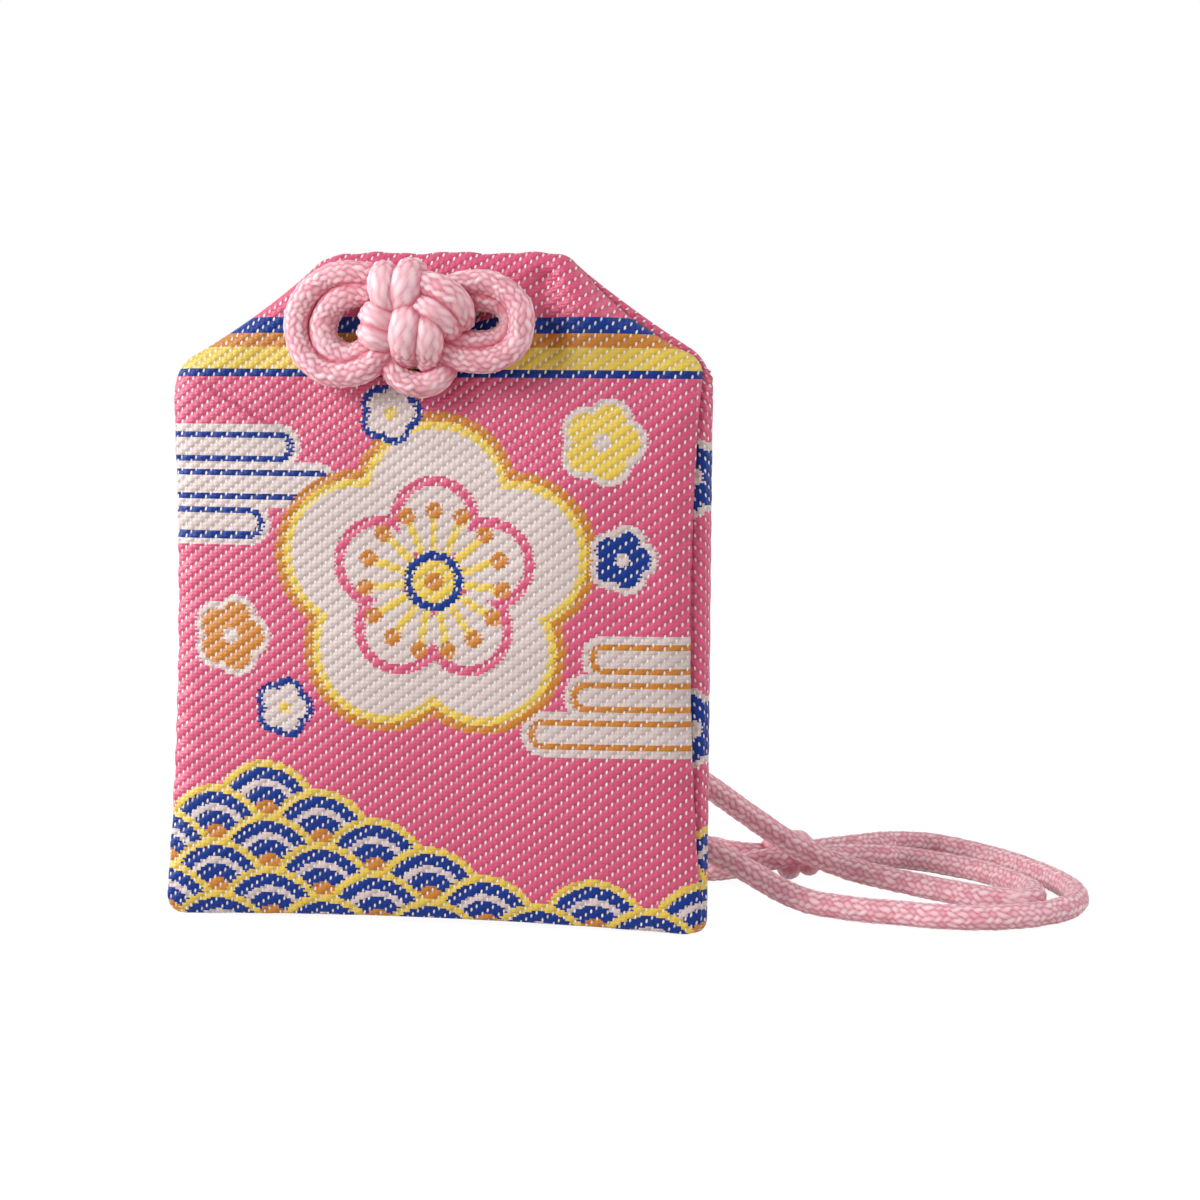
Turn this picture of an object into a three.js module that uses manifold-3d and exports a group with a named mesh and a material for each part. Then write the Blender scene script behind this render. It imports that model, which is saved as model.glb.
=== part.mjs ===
// An omamori charm: a padded brocade pouch that holds a talisman in a paper wrapper, closed by a doubled
// cord knot. The cord's two legs run through the cloth and lie behind the pouch as a hanging loop.

import * as THREE from 'three';
import { mergeVertices } from 'three/addons/utils/BufferGeometryUtils.js';
import Module from 'manifold-3d';

// Driving dimensions in millimetres: X runs right, Y back and Z up, from the middle of the base.
const bagHeight = 57;
const baseWidth = 46.4;
const shoulderWidth = 44.6;
const shoulderHeight = 46.8;
const topWidth = 19;
const bagDepth = 6;
const baseDepth = 3.8;
const topDepth = 3.4;
const fullestHeight = 24;
const edgeRound = 0.8;
const shoulderRound = 1.2;
const sectionPower = 3.4;

// Brocade, its seam and the corners folded in at the shoulders.
const clothThickness = 0.6;
const seamShare = 0.45;
const seamGap = 0.3;
const seamThreadDiameter = 0.4;
const seamAllowance = 1.15;
const seamCorner = 9.5;
const seamStop = 1;
const tuckDepth = 3.5;
const tuckRise = 3;
const tuckGrooveWidth = 0.9;
const tuckGrooveDepth = 2.2;

// Cord, the holes it runs through and the clearances that soft pieces keep.
const cordDiameter = 2.25;
const holeSpacing = 6;
const holeDrop = 4.5;
const holeClearance = 0.3;
const softGap = 0.3;
const floorGap = 0.05;
const bendRadius = 5;
const knotAside = 1;
const knotDrop = 1.1;

// What the pouch holds, from front to back: batting, a stiff card and the wrapped talisman.
const cardThickness = 0.6;
const cardWidth = 39;
const cardHeight = 43;
const cardFront = -0.5;
const cardCorner = 2;
const battingInset = 3.8;
const battingWidth = Math.min(baseWidth, shoulderWidth) - 2 * battingInset;
const battingBottom = 5;
const battingTop = 45;
const paperThickness = 0.15;
const paperGap = 0.1;
const slipWidth = 22;
const slipHeight = 39.5;
const slipThickness = 0.4;
const slipShoulder = 5;
const wrapperMargin = 0.6;
const wrapperBottom = 3;

// How finely round forms are faceted.
const ringPoints = 44;
const cordSides = 8;
const threadSides = 6;
const bendSteps = 8;
const knotStep = 1.5;
const legStep = 3.3;

const cordRadius = cordDiameter / 2;
const holeHeight = bagHeight - holeDrop;
const holeX = holeSpacing / 2;
const wasm = await Module();
wasm.setup();

// Solids from closed geometry, and geometry back from solids.
function solidOf(geometry) {
  const bare = geometry.clone();
  bare.deleteAttribute('normal');
  bare.deleteAttribute('uv');
  const merged = mergeVertices(bare, 1e-4);
  const vertProperties = new Float32Array(merged.attributes.position.array);
  const triVerts = new Uint32Array(merged.index.array);
  return new wasm.Manifold(new wasm.Mesh({ numProp: 3, vertProperties, triVerts }));
}

function geometryOf(solid) {
  const mesh = solid.getMesh();
  const geometry = new THREE.BufferGeometry();
  geometry.setAttribute('position', new THREE.BufferAttribute(new Float32Array(mesh.vertProperties), 3));
  geometry.setIndex(new THREE.BufferAttribute(new Uint32Array(mesh.triVerts), 1));
  geometry.computeVertexNormals();
  return geometry;
}

function unionOf(geometries) {
  return geometries.map(solidOf).reduce((whole, piece) => whole.add(piece));
}

// The pouch's outline: half its width and half its depth at each height.
function halfWidth(z) {
  if (z <= shoulderHeight) {
    const share = z / shoulderHeight;
    return (baseWidth + (shoulderWidth - baseWidth) * share) / 2;
  }
  const share = (z - shoulderHeight) / (bagHeight - shoulderHeight);
  return (shoulderWidth + (topWidth - shoulderWidth) * share) / 2;
}

function halfDepth(z) {
  const below = z < fullestHeight;
  const rim = (below ? baseDepth : topDepth) / 2;
  const reach = below ? fullestHeight : bagHeight - fullestHeight;
  const share = Math.min(1, Math.abs(z - fullestHeight) / reach);
  return rim + (bagDepth / 2 - rim) * Math.cos((share * Math.PI) / 2);
}

// The seam lies towards the front of the pouch's edge, and follows its swell.
function seamY(z) {
  return -seamShare * halfDepth(Math.min(bagHeight, Math.max(0, z)));
}

// The seam allowance and the folded-in corners fill the pouch's edge at the shoulders.
function tuckInset(z) {
  return tuckDepth * THREE.MathUtils.smoothstep(z, shoulderHeight - tuckRise, shoulderHeight + shoulderRound);
}

function sectionRing(halfX, halfY, z) {
  return Array.from({ length: ringPoints }, (_, i) => {
    const turn = (i / ringPoints) * Math.PI * 2;
    const cos = Math.cos(turn);
    const sin = Math.sin(turn);
    const x = halfX * Math.sign(cos) * Math.abs(cos) ** (2 / sectionPower);
    const y = halfY * Math.sign(sin) * Math.abs(sin) ** (2 / sectionPower);
    return new THREE.Vector3(x, y, z);
  });
}

// A closed solid through rings of points, from the lowest ring to the highest.
function loft(rings) {
  const count = rings[0].length;
  const points = rings.flat();
  const index = [];
  for (let ring = 0; ring + 1 < rings.length; ring += 1) {
    for (let i = 0; i < count; i += 1) {
      const a = ring * count + i;
      const b = ring * count + ((i + 1) % count);
      index.push(a, b, b + count, a, b + count, a + count);
    }
  }
  const last = (rings.length - 1) * count;
  for (let i = 1; i + 1 < count; i += 1) {
    index.push(0, i + 1, i, last, last + i, last + i + 1);
  }
  const geometry = new THREE.BufferGeometry().setFromPoints(points);
  geometry.setIndex(index);
  return geometry;
}

function wallHeights(bottom, top) {
  const low = bottom + edgeRound;
  const rise = shoulderHeight - tuckRise - low;
  const side = [0, 0.1, 0.22, 0.4, 0.6, 0.8, 1].map((share) => low + rise * share);
  side.push(shoulderHeight - shoulderRound);
  const slope = top - shoulderHeight - shoulderRound;
  const shoulder = [0, 0.25, 0.5, 0.75, 1].map((share) => shoulderHeight + shoulderRound + slope * share);
  return [...side, shoulderHeight, ...shoulder];
}

// The pouch's outer form, with its bottom edge and shoulders rounded.
function pouchOuter() {
  const rings = [sectionRing(baseWidth / 2 - edgeRound, baseDepth / 2 - edgeRound / 2, 0)];
  for (const z of wallHeights(0, bagHeight - edgeRound)) {
    const corner = z === shoulderHeight ? shoulderRound / 3 : 0;
    rings.push(sectionRing(halfWidth(z) - corner, halfDepth(z), z));
  }
  rings.push(sectionRing(topWidth / 2 - edgeRound / 2, topDepth / 2 - edgeRound / 4, bagHeight));
  return loft(rings);
}

// The hollow inside the cloth, drawn in further by gap for what lies in it, and open at the mouth.
function pouchInner(gap, mouth) {
  const inset = clothThickness + gap;
  const rings = [sectionRing(halfWidth(0) - inset - edgeRound, halfDepth(0) - inset, inset)];
  for (const z of wallHeights(inset, bagHeight)) {
    rings.push(sectionRing(halfWidth(z) - inset - tuckInset(z), halfDepth(z) - inset, z));
  }
  rings.push(sectionRing(topWidth / 2 - inset - tuckDepth, topDepth / 2 - inset, bagHeight + mouth));
  return loft(rings);
}

// Everything in front of the seam, less half the seam's gap, as one block that runs across the pouch.
function inFrontOfSeam(gap) {
  const reach = bagDepth * 2;
  const below = -bagDepth;
  const above = bagHeight + bagDepth;
  const outline = [new THREE.Vector2(-reach, below)];
  for (let i = 0; i <= 24; i += 1) {
    const z = below + ((above - below) * i) / 24;
    outline.push(new THREE.Vector2(seamY(z) + gap, z));
  }
  outline.push(new THREE.Vector2(-reach, above));
  const length = baseWidth + reach;
  const block = new THREE.ExtrudeGeometry(new THREE.Shape(outline), { depth: length, bevelEnabled: false });
  const across = new THREE.Matrix4().makeBasis(
    new THREE.Vector3(0, 1, 0),
    new THREE.Vector3(0, 0, 1),
    new THREE.Vector3(1, 0, 0),
  );
  block.applyMatrix4(across);
  block.translate(-length / 2, 0, 0);
  return block;
}

// A wedge along one slanted shoulder: the fold between the front ridge and the back ridge.
function tuckGroove(side) {
  const low = new THREE.Vector2(shoulderWidth / 2, shoulderHeight);
  const high = new THREE.Vector2(topWidth / 2, bagHeight);
  const slant = high.clone().sub(low);
  const length = slant.length();
  const wedge = new THREE.Shape([
    new THREE.Vector2(-tuckGrooveWidth, tuckGrooveDepth),
    new THREE.Vector2(0, -tuckGrooveDepth),
    new THREE.Vector2(tuckGrooveWidth, tuckGrooveDepth),
  ]);
  const groove = new THREE.ExtrudeGeometry(wedge, { depth: length, bevelEnabled: false });
  const along = new THREE.Vector3(slant.x / length, 0, slant.y / length);
  const out = new THREE.Vector3(slant.y / length, 0, -slant.x / length);
  const deep = new THREE.Vector3().crossVectors(out, along);
  groove.applyMatrix4(new THREE.Matrix4().makeBasis(deep, out, along));
  groove.translate(low.x, seamY((shoulderHeight + bagHeight) / 2), low.y);
  if (side < 0) {
    groove.rotateZ(Math.PI);
    groove.translate(0, 2 * seamY((shoulderHeight + bagHeight) / 2), 0);
  }
  return groove;
}

function lacingHole(side) {
  const radius = cordRadius + holeClearance;
  const hole = new THREE.CylinderGeometry(radius, radius, bagDepth * 2, 12);
  hole.translate(side * holeX, 0, holeHeight);
  return hole;
}

// The front and back cloth, joined at the seam round the sides and the base.
const cloth = solidOf(pouchOuter())
  .subtract(solidOf(pouchInner(0, 1)))
  .subtract(solidOf(tuckGroove(-1)))
  .subtract(solidOf(tuckGroove(1)))
  .subtract(solidOf(lacingHole(-1)))
  .subtract(solidOf(lacingHole(1)));
const brocadeFront = cloth.intersect(solidOf(inFrontOfSeam(-seamGap / 2)));
const brocadeBack = cloth.subtract(solidOf(inFrontOfSeam(seamGap / 2)));

// A tube of cord or thread along a curve through its points.
function tube(points, radius, step, sides = cordSides) {
  const path = new THREE.CatmullRomCurve3(points);
  const section = new THREE.Shape(
    Array.from({ length: sides }, (_, i) => {
      const turn = ((i + 0.5) / sides) * Math.PI * 2;
      return new THREE.Vector2(radius * Math.cos(turn), radius * Math.sin(turn));
    }),
  );
  const steps = Math.max(3, Math.ceil(path.getLength() / step));
  return new THREE.ExtrudeGeometry(section, { steps, extrudePath: path, bevelEnabled: false });
}

// The seam's thread runs inside the cloth, down one side, along the base and up the other.
function seamThread() {
  const radius = seamThreadDiameter / 2;
  const clear = clothThickness + softGap + radius;
  const reach = (z) => {
    const depth = -seamY(z) / (halfDepth(z) - clothThickness);
    return (halfWidth(z) - clothThickness) * (1 - depth ** sectionPower) ** (1 / sectionPower);
  };
  const clearOfWall = seamAllowance + radius;
  const top = shoulderHeight - tuckRise - seamStop;
  const side = [1, 0.8, 0.56, 0.34, 0.17].map((share) => [reach(top * share) - clearOfWall, top * share]);
  const foot = reach(clear);
  const corner = [[0.21, 0.32], [0.53, 0.095], [1, 0]];
  side.push(...corner.map(([inward, up]) => [foot - inward * seamCorner, clear + up * seamCorner]));
  side.push([foot / 4, clear]);
  const mirrored = side.map(([x, z]) => [-x, z]).reverse();
  const points = [...side, ...mirrored].map(([x, z]) => new THREE.Vector3(x, seamY(z), z));
  return tube(points, radius, legStep, threadSides);
}

// Batting behind the front cloth, following the pouch's own swell.
function battingPad() {
  const cardGap = cardFront - softGap;
  const block = new THREE.BoxGeometry(battingWidth, bagDepth, battingTop - battingBottom);
  block.translate(0, cardGap - bagDepth / 2, (battingTop + battingBottom) / 2);
  return solidOf(pouchInner(softGap, 1)).intersect(solidOf(block));
}

// A flat sheet that stands in the pouch, drawn as its outline in X and Z.
function standingSheet(outline, front, thickness) {
  const settings = { depth: thickness, bevelEnabled: false, curveSegments: 4 };
  const sheet = new THREE.ExtrudeGeometry(outline, settings);
  sheet.rotateX(Math.PI / 2);
  sheet.translate(0, front + thickness, 0);
  return sheet;
}

function coreCard() {
  const bottom = clothThickness + softGap;
  const half = cardWidth / 2;
  const top = bottom + cardHeight;
  const outline = new THREE.Shape();
  outline.moveTo(-half + cardCorner, bottom);
  outline.lineTo(half - cardCorner, bottom);
  outline.quadraticCurveTo(half, bottom, half, bottom + cardCorner);
  outline.lineTo(half, top - cardCorner);
  outline.quadraticCurveTo(half, top, half - cardCorner, top);
  outline.lineTo(-half + cardCorner, top);
  outline.quadraticCurveTo(-half, top, -half, top - cardCorner);
  outline.lineTo(-half, bottom + cardCorner);
  outline.quadraticCurveTo(-half, bottom, -half + cardCorner, bottom);
  return standingSheet(outline, cardFront, cardThickness);
}

// The talisman: a slip of wood with its two upper corners cut, in a paper sleeve that is open at the top.
const wrapperFront = cardFront + cardThickness + softGap;
const slipBottom = wrapperBottom + paperThickness + paperGap;
const slipFront = wrapperFront + paperThickness + paperGap;

function talismanSlip() {
  const half = slipWidth / 2;
  const top = slipBottom + slipHeight;
  const outline = new THREE.Shape([
    new THREE.Vector2(-half, slipBottom),
    new THREE.Vector2(half, slipBottom),
    new THREE.Vector2(half, top - slipShoulder),
    new THREE.Vector2(half - slipShoulder, top),
    new THREE.Vector2(-half + slipShoulder, top),
    new THREE.Vector2(-half, top - slipShoulder),
  ]);
  return standingSheet(outline, slipFront, slipThickness);
}

function talismanWrapper() {
  const innerWidth = slipWidth + 2 * wrapperMargin;
  const innerDepth = slipThickness + 2 * paperGap;
  const height = slipHeight + wrapperMargin;
  const walls = 2 * paperThickness;
  const outer = new THREE.BoxGeometry(innerWidth + walls, innerDepth + walls, height);
  const inner = new THREE.BoxGeometry(innerWidth, innerDepth, height);
  const middle = wrapperFront + paperThickness + innerDepth / 2;
  outer.translate(0, middle, wrapperBottom + height / 2);
  inner.translate(0, middle, wrapperBottom + height / 2 + paperThickness);
  return solidOf(outer).subtract(solidOf(inner));
}

// The front knot's strands. Each point is across, up and lift, in cord diameters from the knot's middle:
// a lift of 0 lies on the cloth, and 1 lies on top of another strand.
const knotMiddle = new THREE.Vector2(-knotAside, holeHeight - knotDrop);
const leftEarOuter = [
  [-1.5, 1.5, 0.15], [-2.3, 1.6, 0.3], [-3.05, 1.55, 0.25], [-3.65, 1.25, 0.2], [-4.15, 0.8, 0.15],
  [-4.45, 0.25, 0.1], [-4.5, -0.4, 0.1], [-4.35, -1.05, 0.1], [-3.9, -1.65, 0.15], [-3.25, -2.0, 0.2],
  [-2.45, -2.05, 0.3], [-1.75, -1.85, 0.35], [-1.2, -1.45, 0.35], [-0.55, -0.8, 0.15],
];
const leftEarInner = [
  [-1.5, 0.95, 0.1], [-2.3, 0.95, 0.15], [-2.9, 0.7, 0.15], [-3.3, 0.25, 0.1], [-3.5, -0.35, 0.1],
  [-3.4, -0.9, 0.1], [-3.05, -1.25, 0.1], [-2.55, -1.45, 0.1], [-2.15, -1.4, 0.1], [-1.7, -1.15, 0.1],
  [-0.9, -0.5, 0.05],
];
const rightEarOuter = [
  [0.9, 0.9, 0.15], [1.3, 1.1, 0.25], [1.8, 1.25, 0.3], [2.35, 1.3, 0.3], [2.9, 1.25, 0.35],
  [3.4, 1.0, 0.4], [3.8, 0.65, 0.45], [4.05, 0.2, 0.5], [4.05, -0.35, 0.5], [3.95, -0.85, 0.45],
  [3.55, -1.25, 0.4], [3.05, -1.5, 0.35], [2.4, -1.55, 0.35], [1.85, -1.5, 0.35], [1.3, -1.3, 0.35],
  [0.5, -0.7, 0.1],
];
const rightEarInner = [
  [1.45, 0.6, 0], [2.0, 0.75, 0], [2.55, 0.75, 0], [3.05, 0.65, 0], [3.45, 0.4, 0], [3.65, 0.05, 0],
  [3.6, -0.35, 0], [3.35, -0.7, 0], [2.95, -0.9, 0], [2.45, -0.95, 0.1], [1.9, -0.9, 0.15],
  [1.35, -0.8, 0.2], [0.55, -0.45, 0.05],
];
const bottomLoop = [
  [-1.0, -1.25, 0.05], [-0.9, -1.6, 0.15], [-0.65, -2.05, 0.25], [-0.25, -2.35, 0.3], [0.2, -2.45, 0.3],
  [0.65, -2.4, 0.3], [1.0, -2.15, 0.25], [1.2, -1.75, 0.15], [1.2, -1.35, 0.05],
];
const knotBlocks = [
  [[-1.1, 1.65, 0.3], [-1.05, 1.4, 0.85], [-1.0, 1.05, 1.1], [-0.85, 0.65, 1.0], [-0.6, 0.2, 0.2]],
  [[-0.05, 1.65, 0.3], [-0.05, 1.4, 0.9], [-0.1, 1.05, 1.2], [-0.2, 0.7, 1.05], [-0.35, 0.2, 0.2]],
  [
    [0.15, 1.1, 0.5], [0.5, 1.15, 0.85], [1.0, 1.05, 1.05], [1.45, 0.8, 1.05], [1.8, 0.4, 0.85],
    [1.75, -0.3, 0.2],
  ],
  [[0.05, 0.45, 0.6], [0.45, 0.4, 0.95], [0.9, 0.2, 1.15], [1.25, -0.1, 1.0], [1.5, -0.55, 0.3]],
  [
    [0.1, 0.3, 0.5], [0.0, 0.0, 1.0], [-0.05, -0.4, 1.3], [-0.1, -0.75, 1.2], [-0.2, -1.15, 0.5],
    [-0.2, -1.5, 0.05],
  ],
  [
    [0.6, 0.1, 0.5], [0.7, -0.2, 1.0], [0.75, -0.6, 1.2], [0.75, -0.95, 1.1], [0.6, -1.4, 0.45],
    [0.5, -1.7, 0.05],
  ],
  [[-1.6, 0.1, 0], [-1.4, 0.05, 0.6], [-1.1, -0.05, 0.95], [-0.6, -0.3, 0.6]],
  [[-1.7, -0.5, 0], [-1.5, -0.6, 0.55], [-1.2, -0.7, 0.85], [-0.65, -0.8, 0.5]],
];

function knotStrand(points) {
  const route = points.map(([across, up, lift]) => {
    const x = knotMiddle.x + across * cordDiameter;
    const z = knotMiddle.y + up * cordDiameter;
    const face = halfDepth(Math.min(z, bagHeight));
    return new THREE.Vector3(x, -face - softGap - cordRadius - lift * cordDiameter, z);
  });
  return tube(route, cordRadius, knotStep);
}

// The two leads go from inside the knot straight through the cloth to where the legs bend down.
const leadBack = halfDepth(holeHeight) + softGap;

function cordLead(side) {
  const front = -halfDepth(holeHeight) - softGap - cordDiameter;
  const middle = (front + leadBack) / 2;
  const route = [front, middle, leadBack].map((y) => new THREE.Vector3(side * holeX, y, holeHeight));
  return tube(route, cordRadius, leadBack - front);
}

const frontKnot = unionOf([
  ...[leftEarOuter, leftEarInner, rightEarOuter, rightEarInner, bottomLoop, ...knotBlocks].map(knotStrand),
  cordLead(-1),
  cordLead(1),
]);

// Behind each hole the cord turns from straight back to straight down.
const bendStart = leadBack + softGap;

function cordBend(side) {
  const quarter = Array.from({ length: bendSteps + 1 }, (_, i) => {
    const turn = ((i / bendSteps) * Math.PI) / 2;
    const y = bendStart + bendRadius * Math.sin(turn);
    const z = holeHeight - bendRadius * (1 - Math.cos(turn));
    return new THREE.Vector3(side * holeX, y, z);
  });
  return tube(quarter, cordRadius, bendRadius / 3);
}

// The hanging loop's legs, as chosen points: x, y and the height of the cord's underside. The first
// points hang from the bend, so their height is measured down from it, and the rest lie on the floor.
const legTop = holeHeight - bendRadius - softGap;
const legBehind = bendStart + bendRadius;
const rightLegHanging = [[0, 0, 0], [0.3, 0.6, 6], [1.6, 1.8, 15], [4.6, 3.6, 23.5]];
const rightLegLying = [
  [12.6, 13.2, 15.8], [17.2, 15, 11.6], [21.4, 16.8, 8.8], [26.2, 18.0, 5.3], [30.0, 18.7, 2.8],
  [34.5, 19.4, 1.0], [39.1, 18.6, 0.2], [43.4, 16.1, 0], [46.8, 13.6, 0], [49.4, 12.7, 0],
  [51.0, 14.2, 0], [51.0, 17.4, 0], [49.6, 21.0, 0], [46.8, 25.0, 0.1], [43.0, 27.6, 0.2],
  [39.2, 28.2, 0.5], [35.7, 26.0, 1.0],
];
const leftLegHanging = [[0, 0, 0], [0.2, 0.5, 7], [1.3, 1.2, 17], [4.6, 1.9, 26]];
const leftLegLying = [
  [7.6, 10.4, 13.4], [14.6, 10.6, 7.8], [21.4, 10.5, 4.5], [25.3, 10.3, 2.6], [28.8, 9.8, 0.8],
  [31.4, 8.6, 0.1], [35.2, 6.9, 0], [39.5, 5.8, 0], [43.7, 5.1, 0], [48.0, 5.8, 0], [51.8, 8.3, 0],
  [54.2, 11.8, 0], [54.9, 15.6, 0], [54.2, 20.0, 0], [52.2, 25.2, 0], [49.4, 30.0, 0.1],
  [45.8, 33.6, 0.3], [41.8, 35.0, 0.7], [38.0, 33.0, 1.1], [34.7, 28.9, 1.4],
];

// The knot that ends the loop: one cord wrapped round the pair, with two short tails.
const endKnotMiddle = new THREE.Vector3(28.8, 23.4, cordRadius * 2.2);
const endKnotReach = 2.9;
const endKnotTurns = 1.7;
const wrapRadius = cordRadius * 1.1;
const wrapPitch = 1.9;
const strandSpread = 1.35;
const endKnotTurned = THREE.MathUtils.degToRad(30);
const rightTail = [[-5.9, -0.6, -0.7], [-8.2, 2.0, -1.25], [-10.0, 5.2, -1.35]];
const leftTail = [[-4.95, 2.6, 0.1], [-6.35, 5.4, 0.2], [-8.1, 8.4, -0.6]];

function fromEndKnot(x, y, z) {
  const upright = new THREE.Vector3(0, 0, 1);
  return new THREE.Vector3(x, y, z).applyAxisAngle(upright, endKnotTurned).add(endKnotMiddle);
}

function endKnotStrand(side, tail) {
  const entry = [endKnotReach, 0, -endKnotReach].map((x) => [x, side * strandSpread, 0]);
  const route = [...entry, ...tail].map((point) => fromEndKnot(...point));
  return tube(route, cordRadius, cordDiameter);
}

function endKnotWrap() {
  const steps = 20;
  const route = Array.from({ length: steps + 1 }, (_, i) => {
    const turn = (i / steps) * endKnotTurns * Math.PI * 2;
    const along = (i / steps - 0.5) * endKnotTurns * wrapPitch;
    return fromEndKnot(along, wrapRadius * Math.cos(turn), wrapRadius * Math.sin(turn));
  });
  return tube(route, cordRadius, knotStep);
}

const endKnot = unionOf([endKnotWrap(), endKnotStrand(-1, rightTail), endKnotStrand(1, leftTail)]);

function loopLeg(side, hanging, lying) {
  const top = new THREE.Vector3(side * holeX, legBehind, legTop);
  const hung = hanging.map(([x, y, drop]) => new THREE.Vector3(x, y, -drop).add(top));
  const laid = lying.map(([x, y, lift]) => new THREE.Vector3(x, y, lift + floorGap + cordRadius));
  const end = fromEndKnot(endKnotReach + softGap, -side * strandSpread, 0);
  return tube([...hung, ...laid, end], cordRadius, legStep);
}

// Finishes, by what each piece is made of.
const brocadePink = new THREE.MeshStandardMaterial({ color: 0xe0608f, roughness: 0.75 });
const brocadeRose = new THREE.MeshStandardMaterial({ color: 0xd4557f, roughness: 0.75 });
const cordPink = new THREE.MeshStandardMaterial({ color: 0xf3b7bf, roughness: 0.6 });
const threadPink = new THREE.MeshStandardMaterial({ color: 0xd06a8c, roughness: 0.7 });
const battingWhite = new THREE.MeshStandardMaterial({ color: 0xf4f1ea, roughness: 0.95 });
const cardGrey = new THREE.MeshStandardMaterial({ color: 0xcfc8ba, roughness: 0.9 });
const paperWhite = new THREE.MeshStandardMaterial({ color: 0xf6f2e6, roughness: 0.85 });
const cypress = new THREE.MeshStandardMaterial({ color: 0xe2c79a, roughness: 0.7 });

function piece(name, shape, material) {
  const geometry = shape.isBufferGeometry ? shape : geometryOf(shape);
  const mesh = new THREE.Mesh(geometry, material);
  mesh.name = name;
  return mesh;
}

const pouch = new THREE.Group();
pouch.add(piece('brocade_front', brocadeFront, brocadePink));
pouch.add(piece('brocade_back', brocadeBack, brocadeRose));
pouch.add(piece('seam_thread', seamThread(), threadPink));
pouch.add(piece('batting_pad', battingPad(), battingWhite));
pouch.add(piece('core_card', coreCard(), cardGrey));

const talisman = new THREE.Group();
talisman.add(piece('talisman_slip', talismanSlip(), cypress));
talisman.add(piece('talisman_wrapper', talismanWrapper(), paperWhite));

const cord = new THREE.Group();
cord.add(piece('front_knot', frontKnot, cordPink));
cord.add(piece('cord_bend_left', cordBend(-1), cordPink));
cord.add(piece('cord_bend_right', cordBend(1), cordPink));
cord.add(piece('loop_leg_left', loopLeg(-1, leftLegHanging, leftLegLying), cordPink));
cord.add(piece('loop_leg_right', loopLeg(1, rightLegHanging, rightLegLying), cordPink));
cord.add(piece('end_knot', endKnot, cordPink));

const charm = new THREE.Group();
charm.name = 'omamori_charm';
charm.add(pouch, talisman, cord);

export default charm;
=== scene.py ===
from math import acos, cos, pi, radians, sin, sqrt, tan

import bpy
import numpy as np
from mathutils import Matrix, Vector


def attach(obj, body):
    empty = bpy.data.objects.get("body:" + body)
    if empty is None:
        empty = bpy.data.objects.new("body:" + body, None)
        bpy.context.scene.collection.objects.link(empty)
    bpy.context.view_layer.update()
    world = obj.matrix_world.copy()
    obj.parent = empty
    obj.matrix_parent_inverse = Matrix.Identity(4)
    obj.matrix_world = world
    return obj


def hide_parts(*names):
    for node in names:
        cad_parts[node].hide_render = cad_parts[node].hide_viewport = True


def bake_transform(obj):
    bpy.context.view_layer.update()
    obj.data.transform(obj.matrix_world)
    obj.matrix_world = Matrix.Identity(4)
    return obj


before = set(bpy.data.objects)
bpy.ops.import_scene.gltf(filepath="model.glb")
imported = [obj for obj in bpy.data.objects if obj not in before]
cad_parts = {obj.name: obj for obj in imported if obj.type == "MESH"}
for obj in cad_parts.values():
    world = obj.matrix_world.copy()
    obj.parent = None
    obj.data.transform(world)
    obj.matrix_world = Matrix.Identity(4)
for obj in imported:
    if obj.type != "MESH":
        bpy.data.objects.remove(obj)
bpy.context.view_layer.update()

mm = 0.001  # sizes below are in millimetres, Blender works in metres


def linear(code):
    parts = [int(code[k:k + 2], 16) / 255 for k in (1, 3, 5)]
    return [p / 12.92 if p <= 0.04045 else ((p + 0.055) / 1.055) ** 2.4 for p in parts] + [1]


def addNode(tree, kind, settings=None, inputs=None):
    node = tree.nodes.new("ShaderNode" + kind)
    for key, value in (settings or {}).items():
        setattr(node, key, value)
    for key, value in (inputs or {}).items():
        if isinstance(value, bpy.types.Node):  # a node stands for its first output
            value = [o for o in value.outputs if o.enabled][0]
        if isinstance(value, bpy.types.NodeSocket):
            tree.links.new(value, node.inputs[key])
        else:
            node.inputs[key].default_value = value
    return node


def compute(operation, first, *others):
    # in the tree that the first value is from
    values = dict(enumerate((first, *others)))
    return addNode(first.id_data, "Math", {"operation": operation}, values)


def remap(value, fromLow, fromHigh, toLow, toHigh, kind="LINEAR"):
    ends = {"From Min": fromLow, "From Max": fromHigh, "To Min": toLow, "To Max": toHigh}
    return addNode(value.id_data, "MapRange", {"interpolation_type": kind}, {"Value": value, **ends})


def mixColours(tree, share, first, second, kind="MIX"):
    settings = {"data_type": "RGBA", "blend_type": kind}
    return addNode(tree, "Mix", settings, {"Factor": share, "A": first, "B": second})


def addNoise(tree, place, scale, detail):
    return addNode(tree, "TexNoise", inputs={"Vector": place, "Scale": scale, "Detail": detail})


def addBump(height, strength, depth):
    values = {"Strength": strength, "Distance": depth * mm, "Height": height}
    return addNode(height.id_data, "Bump", inputs=values)


def readAttribute(tree, name, output):
    return addNode(tree, "Attribute", {"attribute_name": name}).outputs[output]


def newMaterial(name):
    material = bpy.data.materials.new(name)
    material.use_nodes = True
    material.node_tree.nodes.clear()
    return material, material.node_tree


def newPiece(name, points, faces, material):
    mesh = bpy.data.meshes.new(name)
    mesh.from_pydata((np.asarray(points) * mm).tolist(), [], np.asarray(faces).tolist())
    mesh.polygons.foreach_set("use_smooth", np.ones(len(mesh.polygons), bool))
    mesh.materials.append(material)
    mesh.update()
    piece = bpy.data.objects.new(name, mesh)
    bpy.context.scene.collection.objects.link(piece)
    return piece


def newAttribute(piece, name, kind, domain, values):
    key = "value" if kind == "FLOAT" else "vector"
    made = piece.data.attributes.new(name, kind, domain)
    made.data.foreach_set(key, np.ascontiguousarray(values, np.float32).ravel())


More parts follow.
